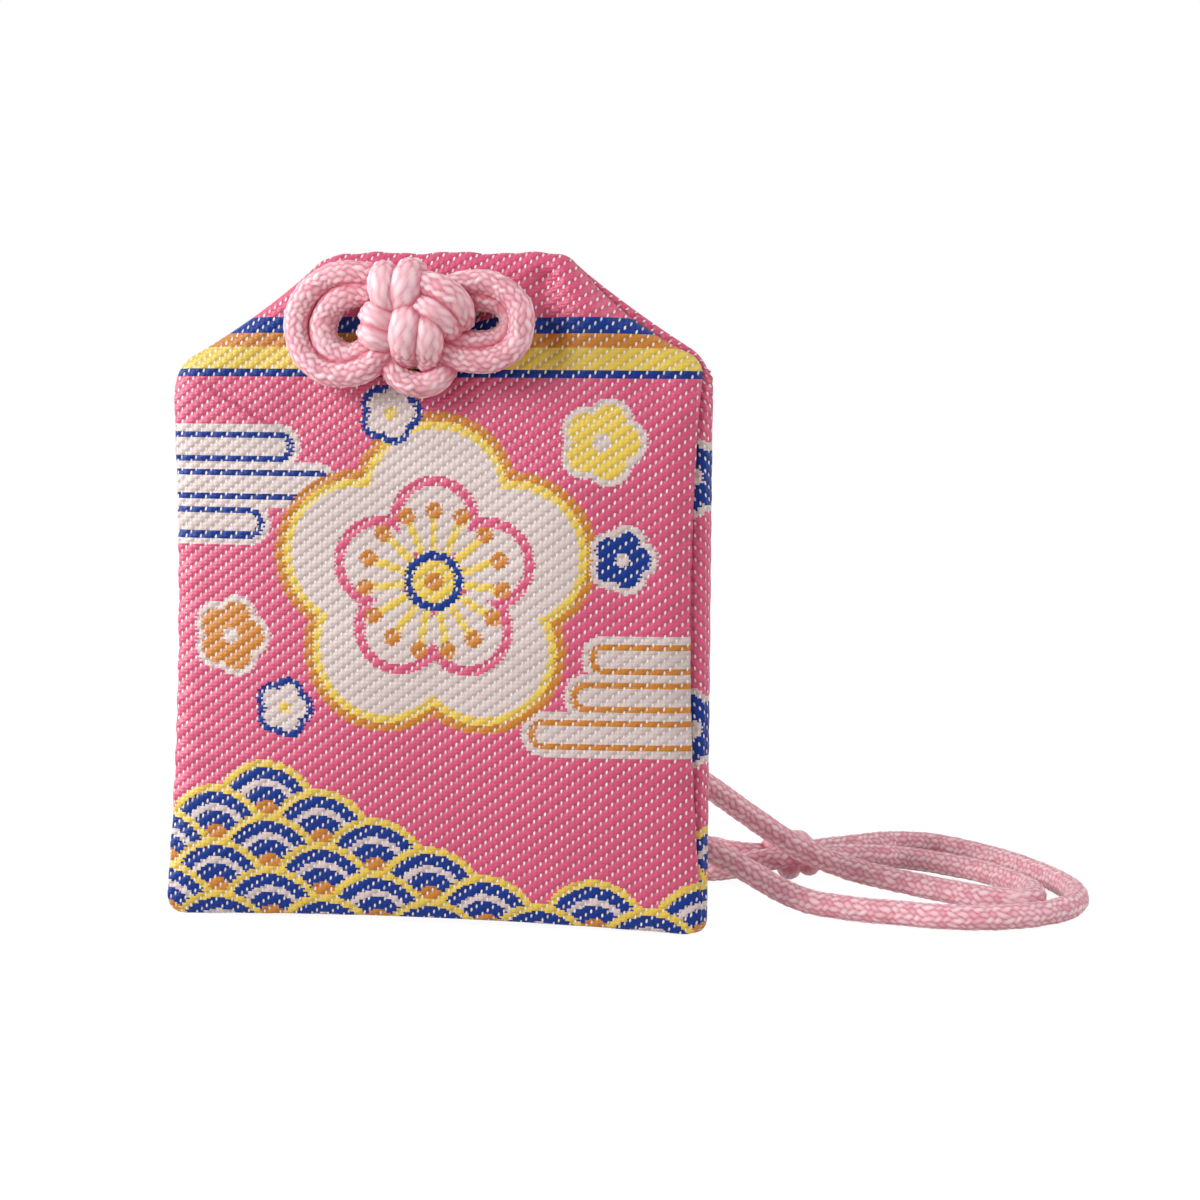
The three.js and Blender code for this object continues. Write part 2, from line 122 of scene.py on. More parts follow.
def newLayout(piece, places):
    layout = piece.data.uv_layers.new(name="OFBake")
    layout.data.foreach_set("uv", places.astype(np.float32).ravel())


def gridQuads(index):
    return np.stack([index[:-1, :-1], index[:-1, 1:], index[1:, 1:], index[1:, :-1]], axis=-1)


def tubeQuads(count, sides, first=0):
    index = first + np.arange(count * sides).reshape(count, sides)
    right = np.roll(index, -1, axis=1)
    return np.stack([index[:-1], right[:-1], right[1:], index[1:]], axis=-1).reshape(-1, 4)


def smoothstep(low, high, x):
    t = np.clip((x - low) / (high - low), 0, 1)
    return t * t * (3 - 2 * t)


def bell(offsets):
    weights = np.exp(-0.5 * offsets ** 2)
    return weights / weights.sum()


# Camera, set to the photograph's view: a little right of square on, a little above
viewpoint = dict(azimuth=9.0, elevation=4.5, distance=192.8, right=14.17, up=27.66, roll=0.52, angle=30.0)


def makeCamera():
    a, e, r = (radians(viewpoint[k]) for k in ("azimuth", "elevation", "roll"))
    back = Vector((sin(a) * cos(e), -cos(a) * cos(e), sin(e)))
    right = Vector((cos(a), sin(a), 0))
    up = back.cross(right)
    rolledRight = right * cos(r) + up * sin(r)
    rolledUp = up * cos(r) - right * sin(r)
    eye = rolledRight * viewpoint["right"] + rolledUp * viewpoint["up"] + back * viewpoint["distance"]
    data = bpy.data.cameras.new("photoCamera")
    data.sensor_fit = "HORIZONTAL"
    data.angle = radians(viewpoint["angle"])
    data.clip_start = 0.01
    data.clip_end = 20
    camera = bpy.data.objects.new("photoCamera", data)
    bpy.context.scene.collection.objects.link(camera)
    columns = [rolledRight, rolledUp, back, eye * mm]
    camera.matrix_world = Matrix([[c[k] for c in columns] for k in range(3)] + [[0, 0, 0, 1]])
    bpy.context.scene.camera = camera


makeCamera()
print("camera set")

# Pouch form, shared by the cloth, the cords and what is inside
pouch = dict(
    height=57.0, baseWidth=46.4, shoulderWidth=44.6, shoulderHeight=46.8,
    baseDepth=3.8, fullDepth=6.0, topDepth=3.4, fullestAt=24.0,
    seamShare=0.45, holeX=3.0, holeHeight=52.5,
)


def halfDepth(z):
    z = np.clip(z, 0, pouch["height"])
    below = z < pouch["fullestAt"]
    rim = np.where(below, pouch["baseDepth"], pouch["topDepth"]) / 2
    reach = np.where(below, pouch["fullestAt"], pouch["height"] - pouch["fullestAt"])
    share = np.abs(z - pouch["fullestAt"]) / reach
    return rim + (pouch["fullDepth"] / 2 - rim) * np.cos(share * pi / 2)


# Braided cord: strands cross two over, two under, and each float shows as a short slanted fleck
braid = dict(
    diameter=2.25, strands=12, pitch=0.8, relief=0.14, sides=56, step=0.125,
    flank=0.4, strandWide=1.98, tipPower=0.55,  # the profile of a float
    lowFamily=0.84, uneven=0.45,  # strands that wind one way lie lower, and no two floats lie alike
    wander=0.16, wanderWaves=((1.9, 2, 0), (3.1, -1, 2)),  # in cells, then per mm, per turn and phase
    tightFrom=0.34, tightTo=0.66, tightHeight=0.76, tightShare=0.46,  # tight bends, in 1/mm
    # painted shade in the creases: how near another strand it reaches, and the gap given where a strand has
    # no neighbour
    endRounding=[0.02, 0.5, 0.78, 0.92], creaseShadeReach=1.45, noCreaseShade=9.0,
    leastRings=8, stripLong=0.999, stripWide=0.97,  # strips of the layout
)


def evenSteps(line, step):
    along = np.concatenate([[0], np.cumsum(np.linalg.norm(np.diff(line, axis=0), axis=1))])
    count = max(braid["leastRings"], int(round(along[-1] / step)) + 1)
    wanted = np.linspace(0, along[-1], count)
    return np.stack([np.interp(wanted, along, line[:, k]) for k in range(3)], axis=1)


def between(x, low, high, start, stop):
    return (high - x) / (high - low) * start + (x - low) / (high - low) * stop


def smoothRoute(points, step, soften=0.0):
    # centripetal Catmull-Rom through the points, then even steps
    perStretch = 40
    p = np.asarray(points, float)
    p = np.vstack([2 * p[0] - p[1], p, 2 * p[-1] - p[-2]])
    line = []
    for k in range(1, len(p) - 2):
        gaps = np.linalg.norm(np.diff(p[k - 1:k + 3], axis=0), axis=1) ** 0.5
        t = np.concatenate([[0], np.cumsum(gaps)])
        x = np.linspace(t[1], t[2], perStretch, endpoint=False)[:, None]
        a = [between(x, t[i], t[i + 1], p[k - 1 + i], p[k + i]) for i in range(3)]
        b = [between(x, t[i], t[i + 2], a[i], a[i + 1]) for i in range(2)]
        line.append(between(x, t[1], t[2], b[0], b[1]))
    line = evenSteps(np.vstack(line + [p[-2:-1]]), step)
    if soften:
        reach = int(3 * soften / step)
        weights = bell(np.arange(-reach, reach + 1) * step / soften)
        padded = np.vstack([2 * line[0] - line[reach:0:-1], line, 2 * line[-1] - line[-2:-reach - 2:-1]])
        line = np.stack([np.convolve(padded[:, k], weights, "valid") for k in range(3)], axis=1)
        line = evenSteps(line, step)
    return line


def lengthOf(line):
    return float(np.linalg.norm(np.diff(line, axis=0), axis=1).sum())


def nearestGap(points, others):
    squares = (points ** 2).sum(1)[:, None] + (others ** 2).sum(1)[None, :] - 2 * points @ others.T
    return np.sqrt(np.maximum(squares.min(1), 0))


def fixedChance(a, b):
    # from 0 to 1, different for each pair and the same on every run
    value = np.sin(a * 12.9898 + b * 78.233) * 43758.5453
    return value - np.floor(value)


def headings(line):
    ahead = np.gradient(line, axis=0)
    return ahead / np.linalg.norm(ahead, axis=1)[:, None]


def carriedAlong(line):
    # directions ahead, to the side and square to both, without twisting
    ahead = headings(line)
    side = np.zeros_like(line)
    first = np.cross(ahead[0], [0.31, 0.17, 0.93])  # no route starts in this direction
    side[0] = first / np.linalg.norm(first)
    for k in range(1, len(line)):
        level = side[k - 1] - ahead[k] * side[k - 1].dot(ahead[k])
        side[k] = level / np.linalg.norm(level)
    return ahead, side, np.cross(ahead, side)


def braidFloats(ahead, theta):
    # the braid's height at each place, and where that lies across its strand
    along = (np.arange(len(ahead)) * braid["step"])[:, None]
    turns = braid["strands"] * theta / (2 * pi)
    waves = braid["wanderWaves"]
    shift = sum(np.sin(along * perMm + perTurn * theta + phase) for perMm, perTurn, phase in waves)
    a = turns + along / braid["pitch"] + braid["wander"] * shift
    b = turns - along / braid["pitch"] + braid["wander"] * shift[:, ::-1]
    cellA, cellB = np.floor(a), np.floor(b)
    partA, partB = a - cellA - 0.5, b - cellB - 0.5
    place = (cellA + cellB) % 4
    over = place < 2  # which of the two strands lies on top here
    across = np.where(over, partA, partB)
    run = (np.where(over, partB, partA) + 0.5 + place % 2) / 2  # from one end of the float to the other
    crown = np.sqrt(1 - (braid["strandWide"] * across) ** 2)
    height = (braid["flank"] + (1 - braid["flank"]) * crown) * np.sin(pi * run) ** braid["tipPower"]
    height = height * np.where(over, 1.0, braid["lowFamily"])
    chance = fixedChance(cellA + cellB - place, np.where(over, cellA, cellB))
    height = height * (1 - braid["uneven"] * chance ** 2)
    bend = np.linalg.norm(np.gradient(ahead, axis=0), axis=1) / braid["step"]
    tight = braid["tightShare"] * smoothstep(braid["tightFrom"], braid["tightTo"], bend)[:, None]
    return height + (braid["tightHeight"] - height) * tight, across


def braidedCord(name, routes, material, pressed=()):
    sides, radius = braid["sides"], braid["diameter"] / 2
    theta = np.arange(sides) / sides * 2 * pi
    ringCount = sum(len(r) for r in routes)
    area = ringCount * braid["step"] * 2 * pi * radius
    ringsPerRow = max(braid["leastRings"], int(sqrt(area) / braid["step"]))
    rows = -(-ringCount // ringsPerRow)
    du, dv = braid["stripLong"] / ringsPerRow, braid["stripWide"] / sides
    points, faces, heights, acrosses, gaps, strips = [], [], [], [], [], []
    ringStart = 0
    for number, line in enumerate(routes):
        count = len(line)
        ahead, side, other = carriedAlong(line)
        height, across = braidFloats(ahead, theta)
        reach = radius * (1 - braid["relief"] + braid["relief"] * height)
        rounding = braid["endRounding"]
        ends = np.concatenate([rounding, np.ones(count - 2 * len(rounding)), rounding[::-1]])
        reach = reach * ends[:, None]
        ring = np.cos(theta)[:, None] * side[:, None, :] + np.sin(theta)[:, None] * other[:, None, :]
        if number < len(pressed):  # squeezed wider by its neighbours
            ring = ring * np.array([pressed[number], 1.0, pressed[number]])
        points.append((line[:, None, :] + ring * reach[:, :, None]).reshape(-1, 3))
        others = [r[::4] for k, r in enumerate(routes) if k != number]
        alone = np.full(count * sides, braid["noCreaseShade"])
        gaps.append(nearestGap(points[-1], np.vstack(others)) if others else alone)
        heights.append(height.ravel())
        acrosses.append(across.ravel())
        faces.append(tubeQuads(count, sides, ringStart * sides))
        k, m = np.meshgrid(ringStart + np.arange(count - 1), np.arange(sides), indexing="ij")
        row, u, v = k // ringsPerRow, (k % ringsPerRow) / ringsPerRow, m * dv
        spots = [np.stack([u + x * du, (row + v + y * dv) / rows], axis=-1)
                 for x, y in ((0, 0), (0, 1), (1, 1), (1, 0))]
        strips.append(np.stack(spots, axis=-2).reshape(-1, 2))
        ringStart += count
    piece = newPiece(name, np.vstack(points), np.vstack(faces), material)
    newAttribute(piece, "braidHeight", "FLOAT", "POINT", np.concatenate(heights))
    newAttribute(piece, "strandAcross", "FLOAT", "POINT", np.concatenate(acrosses))
    # painted shade where a strand lies against or near another
    touching = 1 - smoothstep(radius, radius * braid["creaseShadeReach"], np.concatenate(gaps))
    newAttribute(piece, "creaseShade", "FLOAT", "POINT", touching)
    newLayout(piece, np.vstack(strips))  # the cord cut open and laid in rows
    return piece


# Satin rayon cord, round braid: bright oval floats with soft shine, rose in the crevices. Both are partly
# painted: a painted highlight on the floats' tops beside the shader's own gloss, and painted shade in the
# crevices
cordFinish = dict(
    shadeToHighlightStops=((0.08, "#ce7283"), (0.34, "#de92a0"), (0.6, "#efbac3"), (0.9, "#f9dbe0")),  # from painted crevice shade to painted highlight
    # colour of the painted shade where strands touch, and how much of it
    creaseShade="#dc5c75", creaseShadeShare=0.75, roughness=0.34, dullest=0.7,
    dyeSize=4.0, grainSize=0.16, fibres=6, fibreShare=0.35, bumpDepth=0.05,
)


def braidedRayon():
    finish = cordFinish
    material, tree = newMaterial("braidedRayonCord")
    height = readAttribute(tree, "braidHeight", "Fac")
    across = readAttribute(tree, "strandAcross", "Fac")
    place = addNode(tree, "TexCoord").outputs["Object"]
    dye = addNoise(tree, place, 1 / (finish["dyeSize"] * mm), 2.0)
    # by the braid's height: painted shade in the crevices, a painted highlight on the floats' tops
    ramp = addNode(tree, "ValToRGB", inputs={"Fac": height})
    while len(ramp.color_ramp.elements) < len(finish["shadeToHighlightStops"]):
        ramp.color_ramp.elements.new(0.5)
    for element, (where, code) in zip(ramp.color_ramp.elements, finish["shadeToHighlightStops"]):
        element.position = where
        element.color = linear(code)
    lift = remap(dye, 0.3, 0.7, 0.93, 1.05)
    tone = mixColours(tree, 1.0, ramp.outputs["Color"], lift, "MULTIPLY")
    # painted crease shade mixed in where strands touch
    creaseShade = compute("MULTIPLY", readAttribute(tree, "creaseShade", "Fac"), finish["creaseShadeShare"])
    tone = mixColours(tree, creaseShade, tone, linear(finish["creaseShade"]))
    # fibres coarser than real ones, so that they show
    fibres = compute("SINE", compute("MULTIPLY", across, 2 * pi * finish["fibres"]))
    grain = addNoise(tree, place, 1 / (finish["grainSize"] * mm), 3.0)
    relief = compute("MULTIPLY_ADD", fibres, finish["fibreShare"], grain)
    bump = addBump(relief, 0.35, finish["bumpDepth"])
    rough = remap(height, 0.2, 1.0, finish["dullest"], finish["roughness"])
    shader = addNode(tree, "BsdfPrincipled", inputs={
        "Base Color": tone, "Roughness": rough, "Normal": bump, "Specular IOR Level": 0.7,
        "Subsurface Weight": 0.35, "Subsurface Radius": (1.0, 0.3, 0.36), "Subsurface Scale": 0.6 * mm,
        "Sheen Weight": 0.05, "Sheen Roughness": 0.4, "Sheen Tint": (1.0, 0.86, 0.88, 1.0)})
    addNode(tree, "OutputMaterial", inputs={"Surface": shader})
    return material


cordMaterial = braidedRayon()

# The hanging loop's two legs: out of a hole, over a bend, down the back and along the floor
legs = dict(
    bendRadius=5.0, bendSteps=8, gap=0.3, floorGap=0.05, leadIn=1.0, soften=0.7,
    joinAhead=0.3, joinInside=0.9, joinNarrow=0.9,  # where a leg enters the end knot
    swingFrom=[-0.8, 57.4], swingTo=[18.7, 29.6],  # depth and height
    rightHanging=[[0, 0, 0], [0.3, 0.6, 6], [1.6, 1.8, 15], [4.6, 3.6, 23.5]],
    rightLying=[
        [12.6, 13.2, 15.8], [17.2, 15, 11.6], [21.4, 16.8, 8.8], [26.2, 18.0, 5.3], [30.0, 18.7, 2.8],
        [34.5, 19.4, 1.0], [39.1, 18.6, 0.2], [43.4, 16.1, 0], [46.8, 13.6, 0], [49.4, 12.7, 0],
        [51.0, 14.2, 0], [51.0, 17.4, 0], [49.6, 21.0, 0], [46.8, 25.0, 0.1], [43.0, 27.6, 0.2],
        [39.2, 28.2, 0.5], [35.7, 26.0, 1.0]],
    leftHanging=[[0, 0, 0], [0.2, 0.5, 7], [1.3, 1.2, 17], [4.6, 1.9, 26]],
    leftLying=[
        [7.6, 10.4, 13.4], [14.6, 10.6, 7.8], [21.4, 10.5, 4.5], [25.3, 10.3, 2.6], [28.8, 9.8, 0.8],
        [31.4, 8.6, 0.1], [35.2, 6.9, 0], [39.5, 5.8, 0], [43.7, 5.1, 0], [48.0, 5.8, 0], [51.8, 8.3, 0],
        [54.2, 11.8, 0], [54.9, 15.6, 0], [54.2, 20.0, 0], [52.2, 25.2, 0], [49.4, 30.0, 0.1],
        [45.8, 33.6, 0.3], [41.8, 35.0, 0.7], [38.0, 33.0, 1.1], [34.7, 28.9, 1.4]],
)

# The knot that ties the two legs together, with its two short tails
endKnot = dict(
    middle=[28.8, 23.4, 2.475], turned=30.0, reach=2.9, spread=1.35, soften=0.5,
    turns=1.7, wrapRadius=1.2375, wrapPitch=1.9, wrapSteps=20,
    rightTail=[[-5.9, -0.6, -0.7], [-8.2, 2.0, -1.25], [-10.0, 5.2, -1.35]],
    leftTail=[[-4.95, 2.6, 0.1], [-6.35, 5.4, 0.2], [-8.1, 8.4, -0.6]],
)


def fromEndKnot(point):
    turn = radians(endKnot["turned"])
    x, y, z = point
    atX, atY, atZ = endKnot["middle"]
    return [atX + x * cos(turn) - y * sin(turn), atY + x * sin(turn) + y * cos(turn), atZ + z]


def legRoute(side, hanging, lying):
    radius, bend = braid["diameter"] / 2, legs["bendRadius"]
    out = float(halfDepth(pouch["holeHeight"])) + 2 * legs["gap"]
    x, top = side * pouch["holeX"], pouch["holeHeight"]
    route = [[x, out - legs["leadIn"], top], [x, out, top]]
    for k in range(1, legs["bendSteps"]):
        turn = k / legs["bendSteps"] * pi / 2
        route.append([x, out + bend * sin(turn), top - bend * (1 - cos(turn))])
    start = [x, out + bend, top - bend - legs["gap"]]
    route += [[start[0] + dx, start[1] + dy, start[2] - drop] for dx, dy, drop in hanging]
    route += [[px, py, lift + legs["floorGap"] + radius] for px, py, lift in lying]
    aside = -side * endKnot["spread"]
    route.append(fromEndKnot([endKnot["reach"] + legs["joinAhead"], aside, 0]))
    route.append(fromEndKnot([endKnot["reach"] - legs["joinInside"], aside * legs["joinNarrow"], 0]))
    return smoothRoute(route, braid["step"], legs["soften"])


def makeLeg(name, side, hanging, lying, nodes):
    route = legRoute(side, hanging, lying)
    piece = braidedCord(name, [route], cordMaterial)
    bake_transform(piece)
    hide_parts(*nodes)
    print(name, "is", round(lengthOf(route), 1), "mm long")


makeLeg("legCordRight", 1, legs["rightHanging"], legs["rightLying"], ["cord_bend_right", "loop_leg_right"])
makeLeg("legCordLeft", -1, legs["leftHanging"], legs["leftLying"], ["cord_bend_left", "loop_leg_left"])


def makeEndKnot():
    routes = []
    for side, tail in ((-1, endKnot["rightTail"]), (1, endKnot["leftTail"])):
        entry = [[x, side * endKnot["spread"], 0] for x in (endKnot["reach"], 0, -endKnot["reach"])]
        routes.append(smoothRoute([fromEndKnot(p) for p in entry + tail], braid["step"], endKnot["soften"]))
    wrap, steps, size = [], endKnot["wrapSteps"], endKnot["wrapRadius"]
    for k in range(steps + 1):
        turn = k / steps * endKnot["turns"] * 2 * pi
        along = (k / steps - 0.5) * endKnot["turns"] * endKnot["wrapPitch"]
        wrap.append(fromEndKnot([along, size * cos(turn), size * sin(turn)]))
    routes.append(smoothRoute(wrap, braid["step"]))
    piece = braidedCord("endKnotCord", routes, cordMaterial)
    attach(piece, "hanging_loop")
    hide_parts("end_knot")


makeEndKnot()
print("legs and end knot laid")

# Front knot: points are across, up and lift, in cord diameters from the knot's middle
frontKnot = dict(
    middle=[-1.0, 51.4], gap=0.3, soften=0.35,
    pressed=[1.05, 1.12, 1.0, 1.08, 1.0, 1.2, 1.4, 1.15, 1.1, 1.35, 1.15, 1.2, 1.15],  # in the strands' order
    leftEarOuter=[
        [-1.5, 1.5, 0.15], [-2.3, 1.6, 0.3], [-3.05, 1.55, 0.25], [-3.65, 1.25, 0.2], [-4.15, 0.8, 0.15],
        [-4.45, 0.25, 0.1], [-4.5, -0.4, 0.1], [-4.35, -1.05, 0.1], [-3.9, -1.65, 0.15], [-3.25, -2.0, 0.2],
        [-2.45, -2.05, 0.3], [-1.75, -1.85, 0.35], [-1.2, -1.45, 0.35], [-0.55, -0.8, 0.15]],
    leftEarInner=[
        [-1.5, 0.95, 0.1], [-2.3, 0.95, 0.15], [-2.9, 0.7, 0.15], [-3.3, 0.25, 0.1], [-3.5, -0.35, 0.1],
        [-3.4, -0.9, 0.1], [-3.05, -1.25, 0.1], [-2.55, -1.45, 0.1], [-2.15, -1.4, 0.1], [-1.7, -1.15, 0.1],
        [-0.9, -0.5, 0.05]],
    rightEarOuter=[
        [0.9, 0.9, 0.15], [1.3, 1.1, 0.25], [1.8, 1.25, 0.3], [2.35, 1.3, 0.3], [2.9, 1.25, 0.35],
        [3.4, 1.0, 0.4], [3.8, 0.65, 0.45], [4.05, 0.2, 0.5], [4.05, -0.35, 0.5], [3.95, -0.85, 0.45],
        [3.55, -1.25, 0.4], [3.05, -1.5, 0.35], [2.4, -1.55, 0.35], [1.85, -1.5, 0.35], [1.3, -1.3, 0.35],
        [0.5, -0.7, 0.1]],
    rightEarInner=[
        [1.45, 0.6, 0], [2.0, 0.75, 0], [2.55, 0.75, 0], [3.05, 0.65, 0], [3.45, 0.4, 0], [3.65, 0.05, 0],
        [3.6, -0.35, 0], [3.35, -0.7, 0], [2.95, -0.9, 0], [2.45, -0.95, 0.1], [1.9, -0.9, 0.15],
        [1.35, -0.8, 0.2], [0.55, -0.45, 0.05]],
    bottomLoop=[
        [-1.0, -1.25, 0.05], [-0.9, -1.6, 0.15], [-0.65, -2.05, 0.25], [-0.25, -2.35, 0.3], [0.2, -2.45, 0.3],
        [0.65, -2.4, 0.3], [1.0, -2.15, 0.25], [1.2, -1.75, 0.15], [1.2, -1.35, 0.05]],
    blocks=[
        [[-1.1, 1.65, 0.3], [-1.05, 1.4, 0.85], [-1.0, 1.05, 1.1], [-0.85, 0.65, 1.0], [-0.6, 0.2, 0.2]],
        [[-0.05, 1.65, 0.3], [-0.05, 1.4, 0.9], [-0.1, 1.05, 1.2], [-0.2, 0.7, 1.05], [-0.35, 0.2, 0.2]],
        [[0.15, 1.1, 0.5], [0.5, 1.15, 0.85], [1.0, 1.05, 1.05], [1.45, 0.8, 1.05], [1.8, 0.4, 0.85],
         [1.75, -0.3, 0.2]],
        [[0.05, 0.45, 0.6], [0.45, 0.4, 0.95], [0.9, 0.2, 1.15], [1.25, -0.1, 1.0], [1.5, -0.55, 0.3]],
        [[0.1, 0.3, 0.5], [0.0, 0.0, 1.0], [-0.05, -0.4, 1.3], [-0.1, -0.75, 1.2], [-0.2, -1.15, 0.5],
         [-0.2, -1.5, 0.05]],
        [[0.6, 0.1, 0.5], [0.7, -0.2, 1.0], [0.75, -0.6, 1.2], [0.75, -0.95, 1.1], [0.6, -1.4, 0.45],
         [0.5, -1.7, 0.05]],
        [[-1.6, 0.1, 0], [-1.4, 0.05, 0.6], [-1.1, -0.05, 0.95], [-0.6, -0.3, 0.6]],
        [[-1.7, -0.5, 0], [-1.5, -0.6, 0.55], [-1.2, -0.7, 0.85], [-0.65, -0.8, 0.5]]],
)


def makeFrontKnot():
    d = braid["diameter"]
    loops = ("leftEarOuter", "leftEarInner", "rightEarOuter", "rightEarInner", "bottomLoop")
    routes = []
    for strand in [frontKnot[k] for k in loops] + frontKnot["blocks"]:
        route = []
        for across, up, lift in strand:
            z = frontKnot["middle"][1] + up * d
            y = -float(halfDepth(z)) - frontKnot["gap"] - d / 2 - lift * d
            route.append([frontKnot["middle"][0] + across * d, y, z])
        routes.append(smoothRoute(route, braid["step"], frontKnot["soften"]))
    depth = float(halfDepth(pouch["holeHeight"]))
    front, back = -depth - frontKnot["gap"] - d, depth + legs["gap"]
    for side in (-1, 1):  # the leads through the cloth
        ends = [[side * pouch["holeX"], y, pouch["holeHeight"]] for y in (front, (front + back) / 2, back)]
        routes.append(smoothRoute(ends, braid["step"]))
    piece = braidedCord("frontKnotCord", routes, cordMaterial, frontKnot["pressed"])
    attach(piece, "pouch")
    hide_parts("front_knot")


makeFrontKnot()
print("front knot tied")

# Brocade: coloured wefts lie over white warps, which show as one fleck in three.
# Cells are smaller than a warp by a pick, so that outlines step finely.
weave = dict(warp=0.47, weft=0.335, halfSpan=28.2, below=-3.9, above=61.2, cell=0.19, rows=2, comb=0.095)
threads = ["#c7456c", "#cbb9b5", "#d8b73c", "#bc7208", "#042e80"]  # pink, white, yellow, ochre, blue
pink, white, yellow, ochre, blue = range(5)

# Motifs, placed across and up the flat cloth; a band is from, to and its thread
deep = -99  # further inside than any motif reaches
stripes = ((46.6, 47.3, blue), (47.3, 49.0, yellow), (49.0, 50.2, ochre), (50.2, 51.6, blue))
mist = dict(
    half=1.9, line=(-1.15, -0.6),
    left=((-30, -13.0, 40.6), (-30, -9.5, 37.4), (-30, -15.5, 34.2)),  # from, to and height
    right=((13.5, 30, 20.2), (10.0, 30, 17.0), (15.0, 30, 23.4)),
)
sea = dict(
    size=4.7, rise=2.35, lowest=-2.4, rows=9,
    bands=((0.86, 1, yellow), (0.52, 0.64, white), (deep, 0.26, ochre)),
    crest=10.5, crestSwell=4.6, crestAt=-14, crestReach=9.0, backCrest=9.4,
)
roundel = dict(
    middle=(0.6, 29.6), size=12.6, innerSize=8.8,
    bands=((deep, 1.5, ochre), (deep, 0.75, yellow), (deep, 0.05, white)), innerBand=(-0.85, 0, pink),
    stamens=15, stamenReach=5.6, stamenHalf=0.34, tipAt=5.9, tipBand=(deep, 0.72, ochre),
    heart=((deep, 2.5, blue), (deep, 1.8, yellow), (deep, 0.8, ochre)),
)
small = dict(turn=0.3, rim=0.55, heart=0.24)
frontBlossoms = (
    (14.6, 41.3, 3.2, yellow), (-3.4, 43.6, 2.2, white), (16.4, 31.6, 2.4, blue),
    (-17.2, 24.6, 3.0, ochre), (-12.4, 18.6, 2.1, white))
scatter = dict(
    rows=3, columns=range(-3, 4), apart=13.0, drop=6.5, first=17.5, rise=10.5, size=3.0, heart=0.7,
    tints=(white, yellow, blue, ochre), slope=1.43, slopeFrom=47.3, slopeHalf=18,
)


def paint(tints, measure, *bands):
    for low, high, tint in bands:
        tints[(measure > low) & (measure < high)] = tint


def blossom(x, z, cx, cz, size, turn=0.0):
    # signed distance from a five-petal plum blossom's edge, negative inside
    angle = np.arctan2(x - cx, z - cz) - turn
    angle = (angle + pi / 5) % (2 * pi / 5) - pi / 5
    far = np.hypot(x - cx, z - cz)
    px, pz = far * np.sin(angle), far * np.cos(angle)
    return np.hypot(px, pz - 0.56 * size) - 0.44 * size


def addBlossom(tints, x, z, cx, cz, size, tint, rim, heart):
    edge = blossom(x, z, cx, cz, size, small["turn"])
    rim, middle = (rim, yellow) if tint == white else (white, white)
    paint(tints, edge, (deep, small["rim"], rim), (deep, 0, tint))
    paint(tints, np.hypot(x - cx, z - cz), (deep, heart, middle))


def addMist(tints, x, z):
    for side, line in (("left", blue), ("right", ochre)):
        bars = [np.hypot(x - np.clip(x, low, high), z - cz) - mist["half"] for low, high, cz in mist[side]]
        paint(tints, np.minimum.reduce(bars), (deep, 0, white), (*mist["line"], line))


def addSea(tints, x, z, crest):
    # overlapping fans of sea waves, nearest row lowest
    size = sea["size"]
    done = np.zeros(x.shape, bool)
    for row in range(sea["rows"]):
        cz = sea["lowest"] + row * sea["rise"]
        cx = np.round((x - (row % 2) * size) / (2 * size)) * 2 * size + (row % 2) * size
        far = np.hypot(x - cx, z - cz) / size
        hit = (far < 1) & ~done & (cz + size < crest(cx))
        fan = np.full(x.shape, blue)
        paint(fan, far, *sea["bands"])
        tints[hit] = fan[hit]
        done |= hit


def addRoundel(tints, x, z):
    cx, cz = roundel["middle"]
    paint(tints, blossom(x, z, cx, cz, roundel["size"]), *roundel["bands"])
    paint(tints, blossom(x, z, cx, cz, roundel["innerSize"]), roundel["innerBand"])
    far, angle = np.hypot(x - cx, z - cz), np.arctan2(x - cx, z - cz)
    half = pi / roundel["stamens"]
    fromStamen = np.abs((angle + half) % (2 * half) - half) * far
    tints[(far < roundel["stamenReach"]) & (fromStamen < roundel["stamenHalf"])] = yellow
    paint(tints, np.hypot(fromStamen, far - roundel["tipAt"]), roundel["tipBand"])
    paint(tints, far, *roundel["heart"])


def frontCrest(x):
    return sea["crest"] + sea["crestSwell"] * np.cos((x - sea["crestAt"]) / sea["crestReach"])


def frontDesign(x, z):
    tints = np.full(x.shape, pink)
    paint(tints, z, *stripes)
    addMist(tints, x, z)
    addSea(tints, x, z, frontCrest)
    addRoundel(tints, x, z)
    for cx, cz, size, tint in frontBlossoms:
        addBlossom(tints, x, z, cx, cz, size, tint, blue, small["heart"] * size)
    return tints


def backDesign(x, z):
    tints = np.full(x.shape, pink)
    paint(tints, z, *stripes)
    slope = np.abs(x) + scatter["slope"] * (z - scatter["slopeFrom"])
    tints[slope > scatter["slopeHalf"]] = pink  # the stripes stop short of the sloping edges
    addSea(tints, x, z, lambda cx: sea["backCrest"])
    for row in range(scatter["rows"]):  # scattered blossoms in a half-drop layout
        cz = scatter["first"] + row * scatter["rise"]
        for column in scatter["columns"]:
            cx = column * scatter["apart"] + (row % 2) * scatter["drop"]
            tint = scatter["tints"][(row * 2 + column) % 4]
            addBlossom(tints, x, z, cx, cz, scatter["size"], tint, ochre, scatter["heart"])
    return tints


# Woven brocade, rayon wefts on white warps: satin ribs along the twill, each with a row of white flecks
brocadeFinish = dict(
    fleck="#fdf3f1", fleckWide=0.21, fleckTall=0.58, fleckLean=0.13, fleckRise=0.85, faintest=0.6,
    twill=3, roughness=0.4, dullest=0.52, bumpDepth=0.16, pickTone=0.09, spreadTone=0.14,
)


